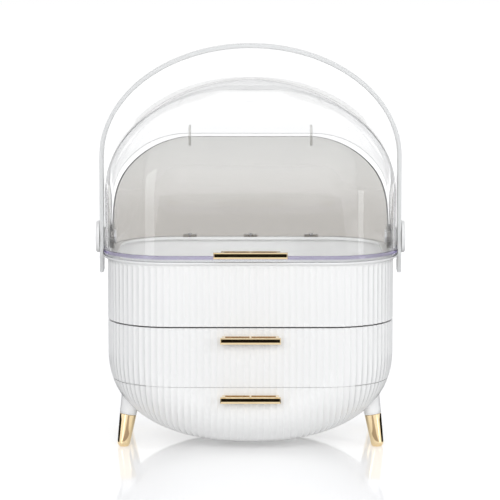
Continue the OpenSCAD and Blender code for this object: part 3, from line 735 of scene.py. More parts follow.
@dataclass(frozen=True)
class Casing:
    """The ribbed outline that bowl, casing, drawer fronts and tray share.

    Attributes:
        half_w: Half the width over the ribs.
        half_d: Half the depth over the ribs.
        corner_r: Radius of the upright corners.
        bottom_z: Height of the underside.
        bend_z: Height where the walls begin to curve under.
        power: Power of the curve that the bowl follows.
        spread: How strongly the ribs keep their distance in front.
        ribs: Ribs in a quarter of the outline.
        rib_depth: Depth of the flutes between the ribs' crests.
        rib_rise: Height over the underside where the ribs begin, and the rise to full depth.
        front_ribs: Ribs from the front's middle to the drawer fronts' edges.
        gap: Width of the open seams of the casings.
        front_gap: Width of the open line beside and between the drawer fronts.
        wall: Thickness of the walls.
        fineness: Steps across a rib.
    """

    half_w: float = 140 * MM
    half_d: float = 100 * MM
    corner_r: float = 64 * MM
    bottom_z: float = 4.5 * MM
    bend_z: float = 97 * MM
    power: float = 2.3
    spread: float = 6.0
    ribs: int = 33
    rib_depth: float = 1 * MM
    rib_rise: tuple[float, float] = (1 * MM, 12 * MM)
    front_ribs: int = 16
    gap: float = 1 * MM
    front_gap: float = 0.3 * MM
    wall: float = 2.4 * MM
    fineness: int = 8

    @property
    def flat_x(self) -> float:
        """Half the length of the flat front."""
        return self.half_w - self.corner_r

    @property
    def arc(self) -> float:
        """Length of a corner."""
        return math.pi * self.corner_r / 2

    @property
    def quarter(self) -> float:
        """Length of a quarter of the outline."""
        return self.flat_x + self.arc + self.half_d - self.corner_r

    @property
    def pitch(self) -> float:
        """Width of a rib."""
        return self.quarter / self.ribs

    @property
    def front_edge(self) -> float:
        """Distance along the outline to the drawer fronts' edges."""
        return self.front_ribs * self.pitch

    def reach(self, z: float, inset: float) -> float:
        """Reach of the bowl's curve at a height, on the side wall's scale."""
        rise = self.bend_z - self.bottom_z - inset
        return (self.half_w - inset) * max(0.0, self.bend_z - z) / rise

    def half_width(self, z: float, inset: float) -> float:
        """Half-width of the surface at a height."""
        left = (self.half_w - inset) ** self.power - self.reach(z, inset) ** self.power
        return max(TINY, left) ** (1 / self.power)

    def line(self, z: float, u: float, inset: float) -> tuple[float, float]:
        """Where a rib line crosses a height.

        Args:
            z: The height.
            u: Distance along a quarter of the upright outline, from its middle line.
            inset: Distance inwards.

        Returns:
            The distances sideways and forwards from the body's middle.
        """
        inner = self.corner_r - inset
        if u <= self.flat_x:
            x = u
        elif u <= self.flat_x + self.arc:
            x = self.flat_x + inner * math.sin((u - self.flat_x) / self.corner_r)
        else:
            x = self.half_w - inset
        width, full = self.half_width(z, inset), self.half_w - inset
        n = self.spread
        x *= (1 + (x / width) ** n - (x / full) ** n) ** (-1 / n)
        if u > self.flat_x + self.arc:
            return x, self.quarter - u
        reach = (x ** self.power + self.reach(z, inset) ** self.power) ** (1 / self.power)
        over = max(0.0, reach - self.flat_x)
        return x, self.half_d - self.corner_r + math.sqrt(max(0.0, inner ** 2 - over ** 2))

    def flute(self, u: float, below: float) -> float:
        """Depth of a flute, whose upper end is round, as a share of its full depth.

        Args:
            u: Distance along a quarter of the outline, from its middle line.
            below: Distance below the flute's upper end.

        Returns:
            The share.
        """
        across = 2 * (u / self.pitch % 1.0) - 1
        along = max(0.0, 1 - below / (self.pitch / 2))
        return math.cos(math.pi / 2 * min(1.0, math.hypot(across, along)))

    def spot(self, s: float, z: float, inset: float = 0.0, ribbed: float = 1.0,
             centre: float = 0.0, top_z: float = 1.0) -> Vector:
        """A place on the casing.

        Args:
            s: Distance round the outline from the front's middle, positive to the right.
            z: The height.
            inset: Distance inwards.
            ribbed: Share of the ribs' depth.
            centre: Share of the way towards the body's middle.
            top_z: Height where the flutes end.

        Returns:
            The place in the frame.
        """
        whole = 4 * self.quarter
        s = (s + whole / 2) % whole - whole / 2
        front = abs(s) <= self.quarter
        u = abs(s) if front else 2 * self.quarter - abs(s)
        start, rise = self.rib_rise
        fade = min(1.0, max(0.0, z - self.bottom_z - start) / rise)
        x, y = self.line(z, u, inset + self.rib_depth * ribbed * fade * self.flute(u, top_z - z))
        side = math.copysign(1 - centre, s)
        return body_place(side * x, (-y if front else y) * (1 - centre), z)

    def marks(self, low: float, high: float) -> list[float]:
        """Columns between two distances round the outline, lined up with the ribs.

        Columns within a quarter of a step of either end give way to it.

        Args:
            low: The first distance.
            high: The last distance.

        Returns:
            The distances, with several to a rib.
        """
        step = self.pitch / self.fineness
        inner = [i * step for i in range(math.ceil(low / step), math.floor(high / step) + 1)]
        return [low] + [s for s in inner if low + step / 4 < s < high - step / 4] + [high]


def cut_across(bm: bmesh.types.BMesh, y: float, keep_front: bool) -> None:
    """Cuts a mesh at a depth and leaves the cut open.

    Args:
        bm: The mesh in the making.
        y: The depth, from the body's middle.
        keep_front: Whether the part in front of it stays.
    """
    bmesh.ops.bisect_plane(bm, geom=bm.verts[:] + bm.edges[:] + bm.faces[:],
                           plane_co=body_place(0, y, 0), plane_no=(0, 1, 0), dist=CUT,
                           clear_outer=keep_front, clear_inner=not keep_front)


@dataclass(frozen=True)
class Legs:
    """Four splayed legs: white sockets that flow out of the bowl, with gold tips.

    Attributes:
        foot: Distances of each foot from the middle, sideways and front to back.
        splay: Lean outwards, sideways and front to back, in degrees.
        tip_h: Length of a tip.
        tip_r: Radius of a tip at its top and at its foot.
        tip_round: Rounding of a tip's foot.
        tip_edge: Chamfer of a tip's upper edge.
        sunk: Length of a tip below the ground, which its level sole cuts off.
        socket: Heights along the leg and radii of the socket's outline, in millimetres.
    """

    foot: tuple[float, float] = (125.7 * MM, 45 * MM)
    splay: tuple[float, float] = (8.9, 4.0)
    tip_h: float = 32 * MM
    tip_r: tuple[float, float] = (8.2 * MM, 6.3 * MM)
    tip_round: float = 4.8 * MM
    tip_edge: float = 0.3 * MM
    sunk: float = 1 * MM
    socket: tuple[tuple[float, float], ...] = (
        (32.15, 8.0), (32.4, 8.25), (36, 8.4), (42, 8.7), (48, 9.1), (53, 9.6), (57, 10.2))

    def axis(self, side: int, end: int) -> Matrix:
        """The turn and place of a leg.

        Args:
            side: -1 for left, 1 for right.
            end: -1 for front, 1 for back.

        Returns:
            The matrix that puts a shape on the leg, its foot at the origin.
        """
        foot = body_place(side * self.foot[0], end * self.foot[1], 0)
        return (Matrix.Translation(foot)
                @ Matrix.Rotation(math.radians(-side * self.splay[0]), 4, "Y")
                @ Matrix.Rotation(math.radians(end * self.splay[1]), 4, "X"))

    def centre_at(self, side: int, end: int, z: float) -> Vector:
        """Where a leg's axis crosses a height.

        Args:
            side: -1 for left, 1 for right.
            end: -1 for front, 1 for back.
            z: The height.

        Returns:
            The place in the frame.
        """
        turn = self.axis(side, end)
        along = turn.to_3x3() @ Vector((0, 0, 1))
        return turn.translation + along * (z / along.z)

    def build(self) -> None:
        """Builds the sockets and the tips."""
        outline = [(0.0, self.socket[0][0] * MM)]
        outline += [(radius * MM, height * MM) for height, radius in self.socket]
        outline.append((0.0, self.socket[-1][0] * MM))
        sockets = bmesh.new()
        for side in (-1, 1):
            for end in (-1, 1):
                verts = joined(sockets, turned(outline))
                bmesh.ops.transform(sockets, matrix=self.axis(side, end), verts=verts)
                self.tip(side, end)
        Work("leg_sockets", Body.ORGANIZER, GLOSS_WHITE, crisp=50, closed=True).piece(sockets)

    def tip(self, side: int, end: int) -> None:
        """Builds one gold tip.

        Args:
            side: -1 for left, 1 for right.
            end: -1 for front, 1 for back.
        """
        top_r, foot_r = self.tip_r
        name = f"leg_tip_{'front' if end < 0 else 'back'}_{'left' if side < 0 else 'right'}"
        low = -self.sunk
        outline = [(0.0, low)]
        outline += [(foot_r - self.tip_round * (1 - math.sin(t)),
                     low + self.tip_round * (1 - math.cos(t)))
                    for t in steps(0, math.pi / 2, count=8)]
        outline += [(top_r, self.tip_h - self.tip_edge), (top_r - self.tip_edge, self.tip_h),
                    (0.0, self.tip_h)]
        bm = turned(outline, sides=72)
        bmesh.ops.transform(bm, matrix=self.axis(side, end), verts=bm.verts)
        bmesh.ops.bisect_plane(bm, geom=bm.verts[:] + bm.edges[:] + bm.faces[:],
                               plane_co=(0, 0, 0), plane_no=(0, 0, 1), dist=CUT,
                               clear_inner=True)
        bmesh.ops.holes_fill(bm, edges=bm.edges[:], sides=0)
        Work(f"gold_{name}", Body.ORGANIZER, GOLD, (name,), crisp=40,
             closed=True).piece(bm)


class Surface(Enum):
    """The kinds of surface on the tray's section."""

    RIBBED = "ribbed"
    RIM = "rim"
    PLAIN = "plain"


@dataclass(frozen=True)
class Cabinet:
    """The bowl, the casing above it, the two drawer fronts and the tray.

    Attributes:
        casing: The outline that they share.
        lower_seam_z: Height of the seam between the drawers.
        upper_seam_z: Height of the seam under the tray.
        upper_share: How far below that height the casing ends, in gaps.
        front_back_y: How far back the lower front reaches under the bowl.
        rib_top_z: Height where the tray's wall turns into the lip.
        rib_end: Distance below it where the ribs end.
        wall_z: Heights of the rows on the way up the tray's wall.
        rim_proud: Overhang of the rim behind its front lip.
        lip_slope: Overhang at the lip's root, and the height over which it slopes out.
        ledge: Width and thickness of the ledge round the tray's mouth.
        mouth: How far in the rim's flat part ends and its inner part begins.
        rim_round: Rounding of the rim's outer corners.
        mouth_round: Rounding of the tray's inner corners.
        foot_edge: Distances of the rows that close the tray's lower edge.
        floor_t: Thickness of the tray's floor.
        floor_in: How far in the floor's fillet, its flat rows and its underside lie.
        under: Shares towards the middle of the rows across the bowl's underside.
        fade_round_legs: Distances from a leg's axis where the ribs begin and are full.
        edges: Softening of the edges of bowl, casing and drawer fronts.
    """

    casing: Casing = field(default_factory=Casing)
    lower_seam_z: float = 68 * MM
    upper_seam_z: float = 126.8 * MM
    upper_share: float = 0.85
    front_back_y: float = 50 * MM
    rib_top_z: float = 187 * MM
    rib_end: float = 0.3 * MM
    wall_z: tuple[float, float] = (150 * MM, 170 * MM)
    rim_proud: float = 0.3 * MM
    lip_slope: tuple[float, float] = (0.6 * MM, 2.2 * MM)
    ledge: tuple[float, float] = (9 * MM, 3 * MM)
    mouth: tuple[float, float] = (3 * MM, 5 * MM)
    rim_round: float = 0.6 * MM
    mouth_round: float = 0.8 * MM
    foot_edge: tuple[float, float] = (0.25 * MM, 0.3 * MM)
    floor_t: float = 3 * MM
    floor_in: tuple[float, float, float] = (20 * MM, 40 * MM, 6 * MM)
    under: tuple[float, ...] = (1, 0.85, 0.6, 0.3)
    fade_round_legs: tuple[float, float] = (11 * MM, 22 * MM)
    edges: tuple[float, float, float] = (0.35 * MM, 0.3 * MM, 0.12 * MM)

    def build(self) -> None:
        """Builds the bowl, the casing, the fronts and the tray."""
        self.bowl()
        self.middle()
        self.lower_front()
        self.tray()

    def bowl_rows(self, gap: float) -> list[float]:
        """Heights of the rows up the bowl, to half a gap under the seam."""
        low = self.casing.bottom_z + self.casing.rib_rise[0]
        return eased(low, self.lower_seam_z - gap / 2, count=26)

    def casing_rows(self, gap: float) -> list[float]:
        """Heights of the rows up the casing, from half a gap over the seam.

        Args:
            gap: Width of the seam below.

        Returns:
            The heights, upwards.
        """
        case = self.casing
        high = self.upper_seam_z - case.gap * self.upper_share
        return (steps(self.lower_seam_z + gap / 2, case.bend_z, count=7)[:-1]
                + steps(case.bend_z, high, count=4))

    def bowl(self) -> None:
        """Builds the bowl behind the lower drawer front."""
        case = self.casing
        edge = case.front_edge + case.front_gap / 2
        heights = self.bowl_rows(case.gap)
        rows = [(heights[0], share) for share in self.under] + [(z, 0.0) for z in heights]
        bm = bmesh.new()
        loft(bm, case.marks(-edge, edge), rows, self.bowl_place)
        cut_across(bm, case.front_gap / 2 - self.front_back_y, False)
        loft(bm, case.marks(edge, 4 * case.quarter - edge), rows, self.bowl_place)
        Work("bowl", Body.ORGANIZER, GLOSS_WHITE, ("base_shell",), wall=case.wall,
             edge=self.edges[0]).piece(bm)

    def bowl_place(self, s: float, row: tuple[float, float]) -> Vector:
        """A place on the bowl, whose ribs fade out round the legs.

        Args:
            s: Distance round the outline.
            row: The height and the share towards the middle.

        Returns:
            The place in the frame.
        """
        z, centre = row
        plain = self.casing.spot(s, z, ribbed=0.5, centre=centre)
        away = min((plain - Legs().centre_at(side, end, z)).length
                   for side in (-1, 1) for end in (-1, 1))
        near, far = self.fade_round_legs
        ribbed = min(1.0, max(0.0, (away - near) / (far - near)))
        return self.casing.spot(s, z, ribbed=ribbed, centre=centre)

    def middle(self) -> None:
        """Builds the casing round the upper drawer, and the drawer's front."""
        case = self.casing
        out = case.front_edge + case.front_gap / 2
        inn = case.front_edge - case.front_gap / 2
        for name, body, low, high, node, gap, edge in (
                ("middle_casing", Body.ORGANIZER, out, 4 * case.quarter - out,
                 "middle_shell", case.gap, self.edges[1]),
                ("upper_front", Body.UPPER, -inn, inn, "upper_drawer_front",
                 case.front_gap, self.edges[2])):
            bm = bmesh.new()
            loft(bm, case.marks(low, high), self.casing_rows(gap), case.spot)
            Work(name, body, GLOSS_WHITE, (node,), wall=case.wall, edge=edge).piece(bm)

    def lower_front(self) -> None:
        """Builds the front of the lower drawer, down to the bowl's underside."""
        case = self.casing
        edge = case.front_edge - case.front_gap / 2
        rows = [(z, 0.0) for z in self.bowl_rows(case.front_gap)]
        bm = bmesh.new()
        loft(bm, case.marks(-edge, edge), rows, self.bowl_place)
        cut_across(bm, -case.front_gap / 2 - self.front_back_y, True)
        Work("lower_front", Body.LOWER, GLOSS_WHITE, ("lower_drawer_front",), wall=case.wall,
             edge=self.edges[2]).piece(bm)

    def tray(self) -> None:
        """Builds the tray, from its underside over the rim to its floor."""
        case = self.casing
        low_z = self.upper_seam_z + case.gap / 2
        floor_z = low_z + self.floor_t
        end_z = self.rib_top_z - self.rib_end
        wall = case.wall + case.rib_depth
        fillet_in, floor_in, under_in = self.floor_in
        inwards, upwards = self.foot_edge
        rows = [(Surface.PLAIN, floor_in, low_z, 1.0), (Surface.PLAIN, under_in, low_z, 0.0)]
        rows += [(Surface.RIBBED, inset, low_z, 0.0) for inset in (inwards, 0.0)]
        rows += [(Surface.RIBBED, 0.0, z, 0.0) for z in [low_z + upwards, *self.wall_z]
                 + steps(end_z - case.pitch / 2, end_z, count=6)]
        root, slope = self.lip_slope
        outer = softened([(root, self.rib_top_z), (LIP_REACH, self.rib_top_z + slope),
                          (LIP_REACH, RIM_Z), (-self.mouth[0], RIM_Z)], self.rim_round)
        rows += [(Surface.RIM, reach, z, 0.0) for reach, z in outer]
        width, thick = self.ledge
        inner = softened([(self.mouth[1], RIM_Z), (width, RIM_Z), (width, RIM_Z - thick),
                          (wall, RIM_Z - thick), (wall, floor_z), (fillet_in, floor_z)],
                         self.mouth_round)
        rows += [(Surface.PLAIN, inset, z, 0.0) for inset, z in inner]
        rows += [(Surface.PLAIN, floor_in, floor_z, share) for share in (0.0, 0.5, 1.0)]
        bm = bmesh.new()
        whole = 2 * case.quarter
        loft(bm, case.marks(-whole, whole), rows, self.tray_place)
        Work("tray_moulding", Body.ORGANIZER, GLOSS_WHITE, ("tray",), crisp=36).piece(bm)

    def tray_place(self, s: float, row: tuple[Surface, float, float, float]) -> Vector:
        """A place on the tray's section.

        Args:
            s: Distance round the outline.
            row: The kind of surface, its inset, its height and its share towards the middle.

        Returns:
            The place in the frame.
        """
        kind, inset, z, centre = row
        if kind is Surface.RIBBED:
            return self.casing.spot(s, z, inset, top_z=self.rib_top_z - self.rib_end)
        if kind is Surface.RIM:
            depth = self.casing.spot(s, z, ribbed=0).y - MIDDLE_Y
            reach = inset if depth < -LIP_START else min(inset, self.rim_proud)
            return self.casing.spot(s, z, -reach, ribbed=0)
        return self.casing.spot(s, z, inset, ribbed=0, centre=centre)


@dataclass(frozen=True)
class Dome:
    """A rounded shell that arches in towards its crown.

    Attributes:
        half: Half-width and half-depth of its outer face.
        corner_r: Radius of its upright corners.
        low_z: Height of its lower edge.
        springs: Heights where its sides, and its front and back, begin to arch in.
        top_z: Height of its crown.
        wall: Thickness.
    """

    half: tuple[float, float]
    corner_r: float
    low_z: float
    top_z: float
    springs: tuple[float, float] = (252 * MM, 284 * MM)
    wall: float = 1.8 * MM

    def columns(self) -> list[float]:
        """Places round the dome: 0 is the front's middle, 3 the right side's, 6 the back's.

        Returns:
            The places, from the back's middle round to it again.
        """
        quarter = (steps(0, 1, count=10)[:-1] + steps(1, 2, count=26)[:-1]
                   + steps(2, 3, count=8))
        half = quarter + [6 - p for p in reversed(quarter[:-1])]
        return [-p for p in reversed(half[1:])] + half

    def rows(self) -> list[float]:
        """Heights from the lower edge to the crown.

        Returns:
            The heights, upwards.
        """
        spring = self.springs[0]
        arch = [spring + (self.top_z - spring) * math.sin(math.radians(t))
                for t in steps(0, 90, count=36)]
        return steps(self.low_z, spring, count=9)[:-1] + arch

    def place(self, p: float, z: float) -> Vector:
        """A place on the dome.

        Args:
            p: The place round it.
            z: The height.

        Returns:
            The place in the frame.
        """
        shares = [1.0 if z <= spring else math.sqrt(max(0.0, 1 - ((z - spring) / (
            self.top_z - spring)) ** 2)) for spring in self.springs]
        a, d = self.half[0] * shares[0], self.half[1] * shares[1]
        r = self.corner_r * min(shares)
        q = abs(p) if abs(p) <= 3 else 6 - abs(p)
        turn = math.radians(90 * min(1.0, max(0.0, q - 1)))
        x = (a - r) * min(1.0, q) + r * math.sin(turn)
        y = (d - r) * min(1.0, 3 - q) + r * math.cos(turn)
        return body_place(math.copysign(x, p), -y if abs(p) <= 3 else y, z)

    def shell(self) -> bmesh.types.BMesh:
        """The dome's whole outer face.

        Returns:
            The mesh, open below.
        """
        bm = bmesh.new()
        loft(bm, self.columns(), self.rows(), self.place)
        bmesh.ops.remove_doubles(bm, verts=bm.verts, dist=CROWN_WELD)
        return bm


@dataclass(frozen=True)
class Hood:
    """The clear rear shell, and the clear lid that tips back over it.

    Attributes:
        lean: Lean of the line where the two meet, from upright, in degrees.
        rear_gap: Opening along that line.
        edge: Softening of the edges of both, and of the flange.
        hub_r: Radius of the round ends at the pivots.
        hub_edge: Rounding of their edges.
        lid_hub_t: Thickness of the lid's round ends.
        rear_hub_t: Thickness of the rear shell's round ends.
        hub_play: How far they stand out of the lid's face, and in from the rear shell's.
        seat: Play between the rim and the lid.
        flange_h: Height of the lid's flange.
        flange_in: Distance that its lower face begins further out than its inner face.
        flange_round: Rounding of its outer corners.
        lid: The lid's dome.
        rear: The rear shell's dome.
        tab: Distance from the middle, width, thickness and height of a closing tab.
        tab_edge: Rounding of its edges.
        tab_sunk: How far it is sunk into the shell's wall.
        screw_foot: Half-width, reach inwards, reach outwards and thickness of a screw foot.
    """

    lean: float = 47.0
    rear_gap: float = 0.8 * MM
    edge: float = 0.3 * MM
    hub_r: float = 12.2 * MM
    hub_edge: float = 0.3 * MM
    lid_hub_t: float = 1.9 * MM
    rear_hub_t: float = 3.6 * MM
    hub_play: float = 0.1 * MM
    seat: float = 0.3 * MM
    flange_h: float = 6 * MM
    flange_in: float = 0.5 * MM
    flange_round: float = 0.7 * MM
    lid: Dome = Dome(half=(142.4 * MM, 102.2 * MM), corner_r=66.4 * MM, low_z=190.8 * MM,
                     top_z=361 * MM)
    rear: Dome = Dome(half=(140 * MM, 99.6 * MM), corner_r=74 * MM, low_z=RIM_Z,
                      top_z=358.6 * MM)
    tab: tuple[float, float, float, float] = (62 * MM, 2.6 * MM, 2 * MM, 11 * MM)
    tab_edge: float = 0.4 * MM
    tab_sunk: float = 0.2 * MM
    screw_foot: tuple[float, float, float, float] = (7 * MM, 6.4 * MM, 0.6 * MM, 2 * MM)

    def build(self) -> None:
        """Builds the rear shell, the lid and the lid's flange."""
        self.rear_shell()
        self.lid_shell()
        self.flange()

    def parted(self, bm: bmesh.types.BMesh, front: bool, gap: float) -> None:
        """Cuts a dome along the parting line.

        Args:
            bm: The dome.
            front: Whether its front part stays.
            gap: How far behind the line the cut lies.
        """
        lean = math.radians(self.lean)
        normal = Vector((0, math.cos(lean), -math.sin(lean)))
        origin = body_place(0, 0, PIVOT_Z) + normal * gap
        for axis in (normal, Vector((0, 0, 1)), Vector((0, 1, 0))):
            bmesh.ops.bisect_plane(bm, geom=bm.verts[:] + bm.edges[:] + bm.faces[:],
                                   plane_co=origin, plane_no=axis, dist=CUT)
        lost = []
        for face in bm.faces:
            away = face.calc_center_median() - origin
            is_behind = away.dot(normal) > 0 if away.z > 0 else away.y > 0
            if is_behind == front:
                lost.append(face)
        bmesh.ops.delete(bm, geom=lost, context="FACES")

    def hubs(self, bm: bmesh.types.BMesh, outer: float, thick: float) -> None:
        """Adds the round ends at the pivots.

        Args:
            bm: The mesh in the making.
            outer: Distance of their outer faces from the middle.
            thick: Their thickness.
        """
        outline = softened([(0, 0), (self.hub_r, 0), (self.hub_r, thick), (0, thick)],
                           self.hub_edge)
        for side in (-1, 1):
            verts = joined(bm, turned(outline))
            bmesh.ops.transform(bm, matrix=pivot_turn(side, outer - thick), verts=verts)

    def rear_shell(self) -> None:
        """Builds the rear shell with its closing tabs and its screw feet."""
        bm = self.rear.shell()
        self.parted(bm, False, self.rear_gap)
        Work("rear_hood", Body.ORGANIZER, REAR_CLEAR, ("rear_shell",), wall=self.rear.wall,
             edge=self.edge).piece(bm)
        fittings = bmesh.new()
        x, wide, thick, high = self.tab
        inner = self.rear.half[1] - self.rear.wall
        tab_y = inner + self.tab_sunk
        tab_z = (PIVOT_Z + self.rear.half[1] / math.tan(math.radians(self.lean))
                 - self.rear_gap)
        for middle in (-x, x):
            block(fittings, body_place(middle - wide / 2, tab_y - thick, tab_z - high),
                  body_place(middle + wide / 2, tab_y, tab_z + high), self.tab_edge)
        half, inwards, outwards, foot_t = self.screw_foot
        for middle in (-x, 0, x):
            block(fittings, body_place(middle - half, inner - inwards, RIM_Z),
                  body_place(middle + half, inner + outwards, RIM_Z + foot_t), self.edge)
        self.hubs(fittings, self.rear.half[0] - self.hub_play, self.rear_hub_t)
        Work("rear_hood_fittings", Body.ORGANIZER, REAR_CLEAR, closed=True).piece(fittings)

    def lid_shell(self) -> None:
        """Builds the lid."""
        bm = self.lid.shell()
        self.parted(bm, True, 0.0)
        Work("lid_hood", Body.LID, LID_CLEAR, ("lid",), wall=self.lid.wall,
             edge=self.edge).piece(bm)
        hubs = bmesh.new()
        self.hubs(hubs, self.lid.half[0] + self.hub_play, self.lid_hub_t)
        Work("lid_hubs", Body.LID, LID_CLEAR, closed=True).piece(hubs)

    def flange(self) -> None:
        """Builds the flange that rests on the rim's front lip."""
        case = Casing()
        low = RIM_Z + self.seat
        high = low + self.flange_h
        start = case.quarter - LIP_START
        inner = self.lid.half[0] - self.lid.wall / 2 - case.half_w
        section = softened([(inner + self.flange_in, low), (LIP_REACH, low),
                            (LIP_REACH, high), (inner, high)], self.flange_round)
        section = [(inner, low)] + section + [(inner, low)]
        bm = bmesh.new()
        loft(bm, case.marks(-start, start)[::2] + [start], section,
             lambda s, r: case.spot(s, r[1], -r[0], ribbed=0))
        bmesh.ops.remove_doubles(bm, verts=bm.verts, dist=WELD)
        bmesh.ops.holes_fill(bm, edges=bm.edges[:], sides=0)
        Work("lid_flange", Body.LID, FLANGE_CLEAR, edge=self.edge, edge_angle=60,
             closed=True).piece(bm)


class Stretch(Enum):
    """The stretches of the handle's strap."""

    LEFT = "left"
    ARCH = "arch"
    RIGHT = "right"


@dataclass(frozen=True)
class Carrier:
    """The carrying handle and the caps over its pivots.

    Attributes:
        inner_x: Distance of the strap's inner face from the middle.
        strap_t: Thickness of the strap.
        top_w: Width of the strap at its crown.
        foot_w: Width of the strap at the pivots and below.
        top_z: Height of the crown.
        spring_z: Height where the straight sides turn into the arch.
        foot_z: Height of the square lower ends.
        corner: Rounding of the strap's section.
        end_edge: Rounding of its square ends.
        cap: Inner face, radius and thickness of a cap.
        cap_round: How far in and how far down the corners of a cap's rounded face lie.
        cap_edge: Rounding of those corners.
    """

    inner_x: float = 145.3 * MM
    strap_t: float = 4 * MM
    top_w: float = 20 * MM
    foot_w: float = 26 * MM
    top_z: float = 394.5 * MM
    spring_z: float = 283 * MM
    foot_z: float = 168.5 * MM
    corner: float = 1.2 * MM
    end_edge: float = 0.8 * MM
    cap: tuple[float, float, float] = (149.6 * MM, 15.75 * MM, 3.7 * MM)
    cap_round: tuple[tuple[float, float], ...] = (
        (0.0, 1.4 * MM), (0.25 * MM, 0.8 * MM), (0.8 * MM, 0.35 * MM), (2 * MM, 0.12 * MM))
    cap_edge: float = 0.3 * MM

    def build(self) -> None:
        """Builds the handle and the caps."""
        self.strap()
        inner, radius, thick = self.cap
        outline = [(0, 0), (radius, 0)]
        outline += [(radius - inwards, thick - down) for inwards, down in self.cap_round]
        outline.append((0, thick))
        for side, name in ((-1, "pivot_cap_left"), (1, "pivot_cap_right")):
            bm = turned(softened(outline, self.cap_edge), sides=96)
            bmesh.ops.transform(bm, matrix=pivot_turn(side, inner), verts=bm.verts)
            Work(f"round_{name}", Body.ORGANIZER, GLOSS_WHITE, (name,), crisp=40,
                 closed=True).piece(bm)

    def strap(self) -> None:
        """Builds the strap as a rounded section swept up, over and down."""
        arch = steps(0, 180, count=120)
        sides = steps(self.foot_z, self.spring_z, count=12)[:-1]
        path = [(Stretch.LEFT, z) for z in sides] + [(Stretch.ARCH, t) for t in arch]
        path += [(Stretch.RIGHT, z) for z in reversed(sides)]
        bm = bmesh.new()
        loft(bm, path, self.rounded_corners(), self.strap_place)
        bmesh.ops.remove_doubles(bm, verts=bm.verts, dist=WELD)
        bmesh.ops.holes_fill(bm, edges=bm.edges[:], sides=0)
        Work("carrying_handle", Body.HANDLE, HANDLE_WHITE, ("handle",), edge=self.end_edge,
             edge_angle=60, crisp=40, closed=True).piece(bm)

    def rounded_corners(self) -> list[tuple[float, float]]:
        """The strap's section, with its corners rounded.

        Returns:
            Share of half the width, and depth from the inner face, of each point.
        """
        half, thick = self.top_w / 2, self.strap_t
        outline = softened([(0, 0), (half, 0), (half, thick), (-half, thick), (-half, 0),
                            (0, 0)], self.corner, count=5)
        return [(y / half, depth) for y, depth in outline]

    def strap_place(self, along: tuple[Stretch, float],
                    across: tuple[float, float]) -> Vector:
        """A place on the strap.

        Args:
            along: The stretch of the strap, and the height or the angle along it.
            across: Share of half the width, and depth from the inner face.

        Returns:
            The place in the frame.
        """
        where, value = along
        share, depth = across
        if where is Stretch.ARCH:
            turn = math.radians(value)
            x = -(self.inner_x + depth) * math.cos(turn)
            z = self.spring_z + (self.top_z - self.strap_t + depth
                                 - self.spring_z) * math.sin(turn)
        else:
            x = (self.inner_x + depth) * (-1 if where is Stretch.LEFT else 1)
            z = value
        rise = max(0.0, (z - PIVOT_Z) / (self.top_z - PIVOT_Z))
        width = self.foot_w + (self.top_w - self.foot_w) * rise
        return body_place(x, share * width / 2, z)


@dataclass(frozen=True)
class Pull:
    """A gold pull: a chamfered bar on posts in front of a back plate.

    Attributes:
        name: The piece's name.
        node: The CAD node that it stands for.
        body: The body that it rides on.
        bar_l: Length of the bar.
        plate_l: Length of the back plate.
        face_y: Distance of the face that it sits on from the middle.
        z: Height of the bar's middle.
        bar: Height and thickness of the bar.
        chamfers: Chamfers of its upper and side edges, and of its lower edge.
        finger_gap: Gap behind the bar.
        plate_t: Thickness of the plate.
        plate_edge: Rounding of its edges.
        posts: Widths of the outer posts and of the middle post, and the height of all.
        post_inset: How far they stay inside the bar's upper face and the plate's foot.
        post_sunk: How far they are sunk into the bar.
        seat: Gap left behind the plate.
        edge: Softening of all edges.
    """

    name: str
    node: str
    body: Body
    bar_l: float
    plate_l: float
    face_y: float
    z: float
    bar: tuple[float, float] = (6.2 * MM, 4 * MM)
    chamfers: tuple[float, float] = (1.2 * MM, 2.3 * MM)
    finger_gap: float = 8 * MM
    plate_t: float = 1.2 * MM
    plate_edge: float = 0.2 * MM
    posts: tuple[float, float, float] = (3.2 * MM, 2 * MM, 4 * MM)
    post_inset: float = 0.05 * MM
    post_sunk: float = 0.5 * MM
    seat: float = 0.1 * MM
    edge: float = 0.22 * MM

    def build(self) -> None:
        """Builds the pull."""
        high, thick = self.bar
        small, large = self.chamfers
        back = -self.face_y - self.seat
        bar_y = back - self.plate_t - self.finger_gap
        top = self.z + high / 2
        bm = bmesh.new()
        bar = bmesh.new()
        bmesh.ops.create_cube(bar, size=1.0)
        bmesh.ops.scale(bar, vec=(self.bar_l, thick, high), verts=bar.verts)
        bmesh.ops.translate(bar, vec=body_place(0, bar_y - thick / 2, self.z),
                            verts=bar.verts)
        bmesh.ops.inset_region(bar, faces=[f for f in bar.faces if f.normal.y < -0.5],
                               thickness=small)
        # The inset face keeps its depth and its lower edge rises, while its rim goes back
        for vert in bar.verts:
            if abs(vert.co.x) < self.bar_l / 2 - small / 2:
                vert.co.z += large - small if vert.co.z < self.z else 0.0
            elif vert.co.y < bar_y + MIDDLE_Y - thick / 2:
                vert.co.y += small
        joined(bm, bar)
        outer_w, middle_w, post_h = self.posts
        block(bm, body_place(-self.plate_l / 2, back - self.plate_t, top - post_h),
              body_place(self.plate_l / 2, back, top), self.plate_edge)
        outer_x = (self.plate_l - outer_w) / 2
        for x, wide in ((0, middle_w), (outer_x, outer_w), (-outer_x, outer_w)):
            block(bm, body_place(x - wide / 2, bar_y - self.post_sunk,
                                 top - post_h + self.post_inset),
                  body_place(x + wide / 2, back - self.plate_t / 2, top - self.post_inset))
        Work(self.name, self.body, GOLD, (self.node,), edge=self.edge, edge_angle=25,
             crisp=20, closed=True).piece(bm)


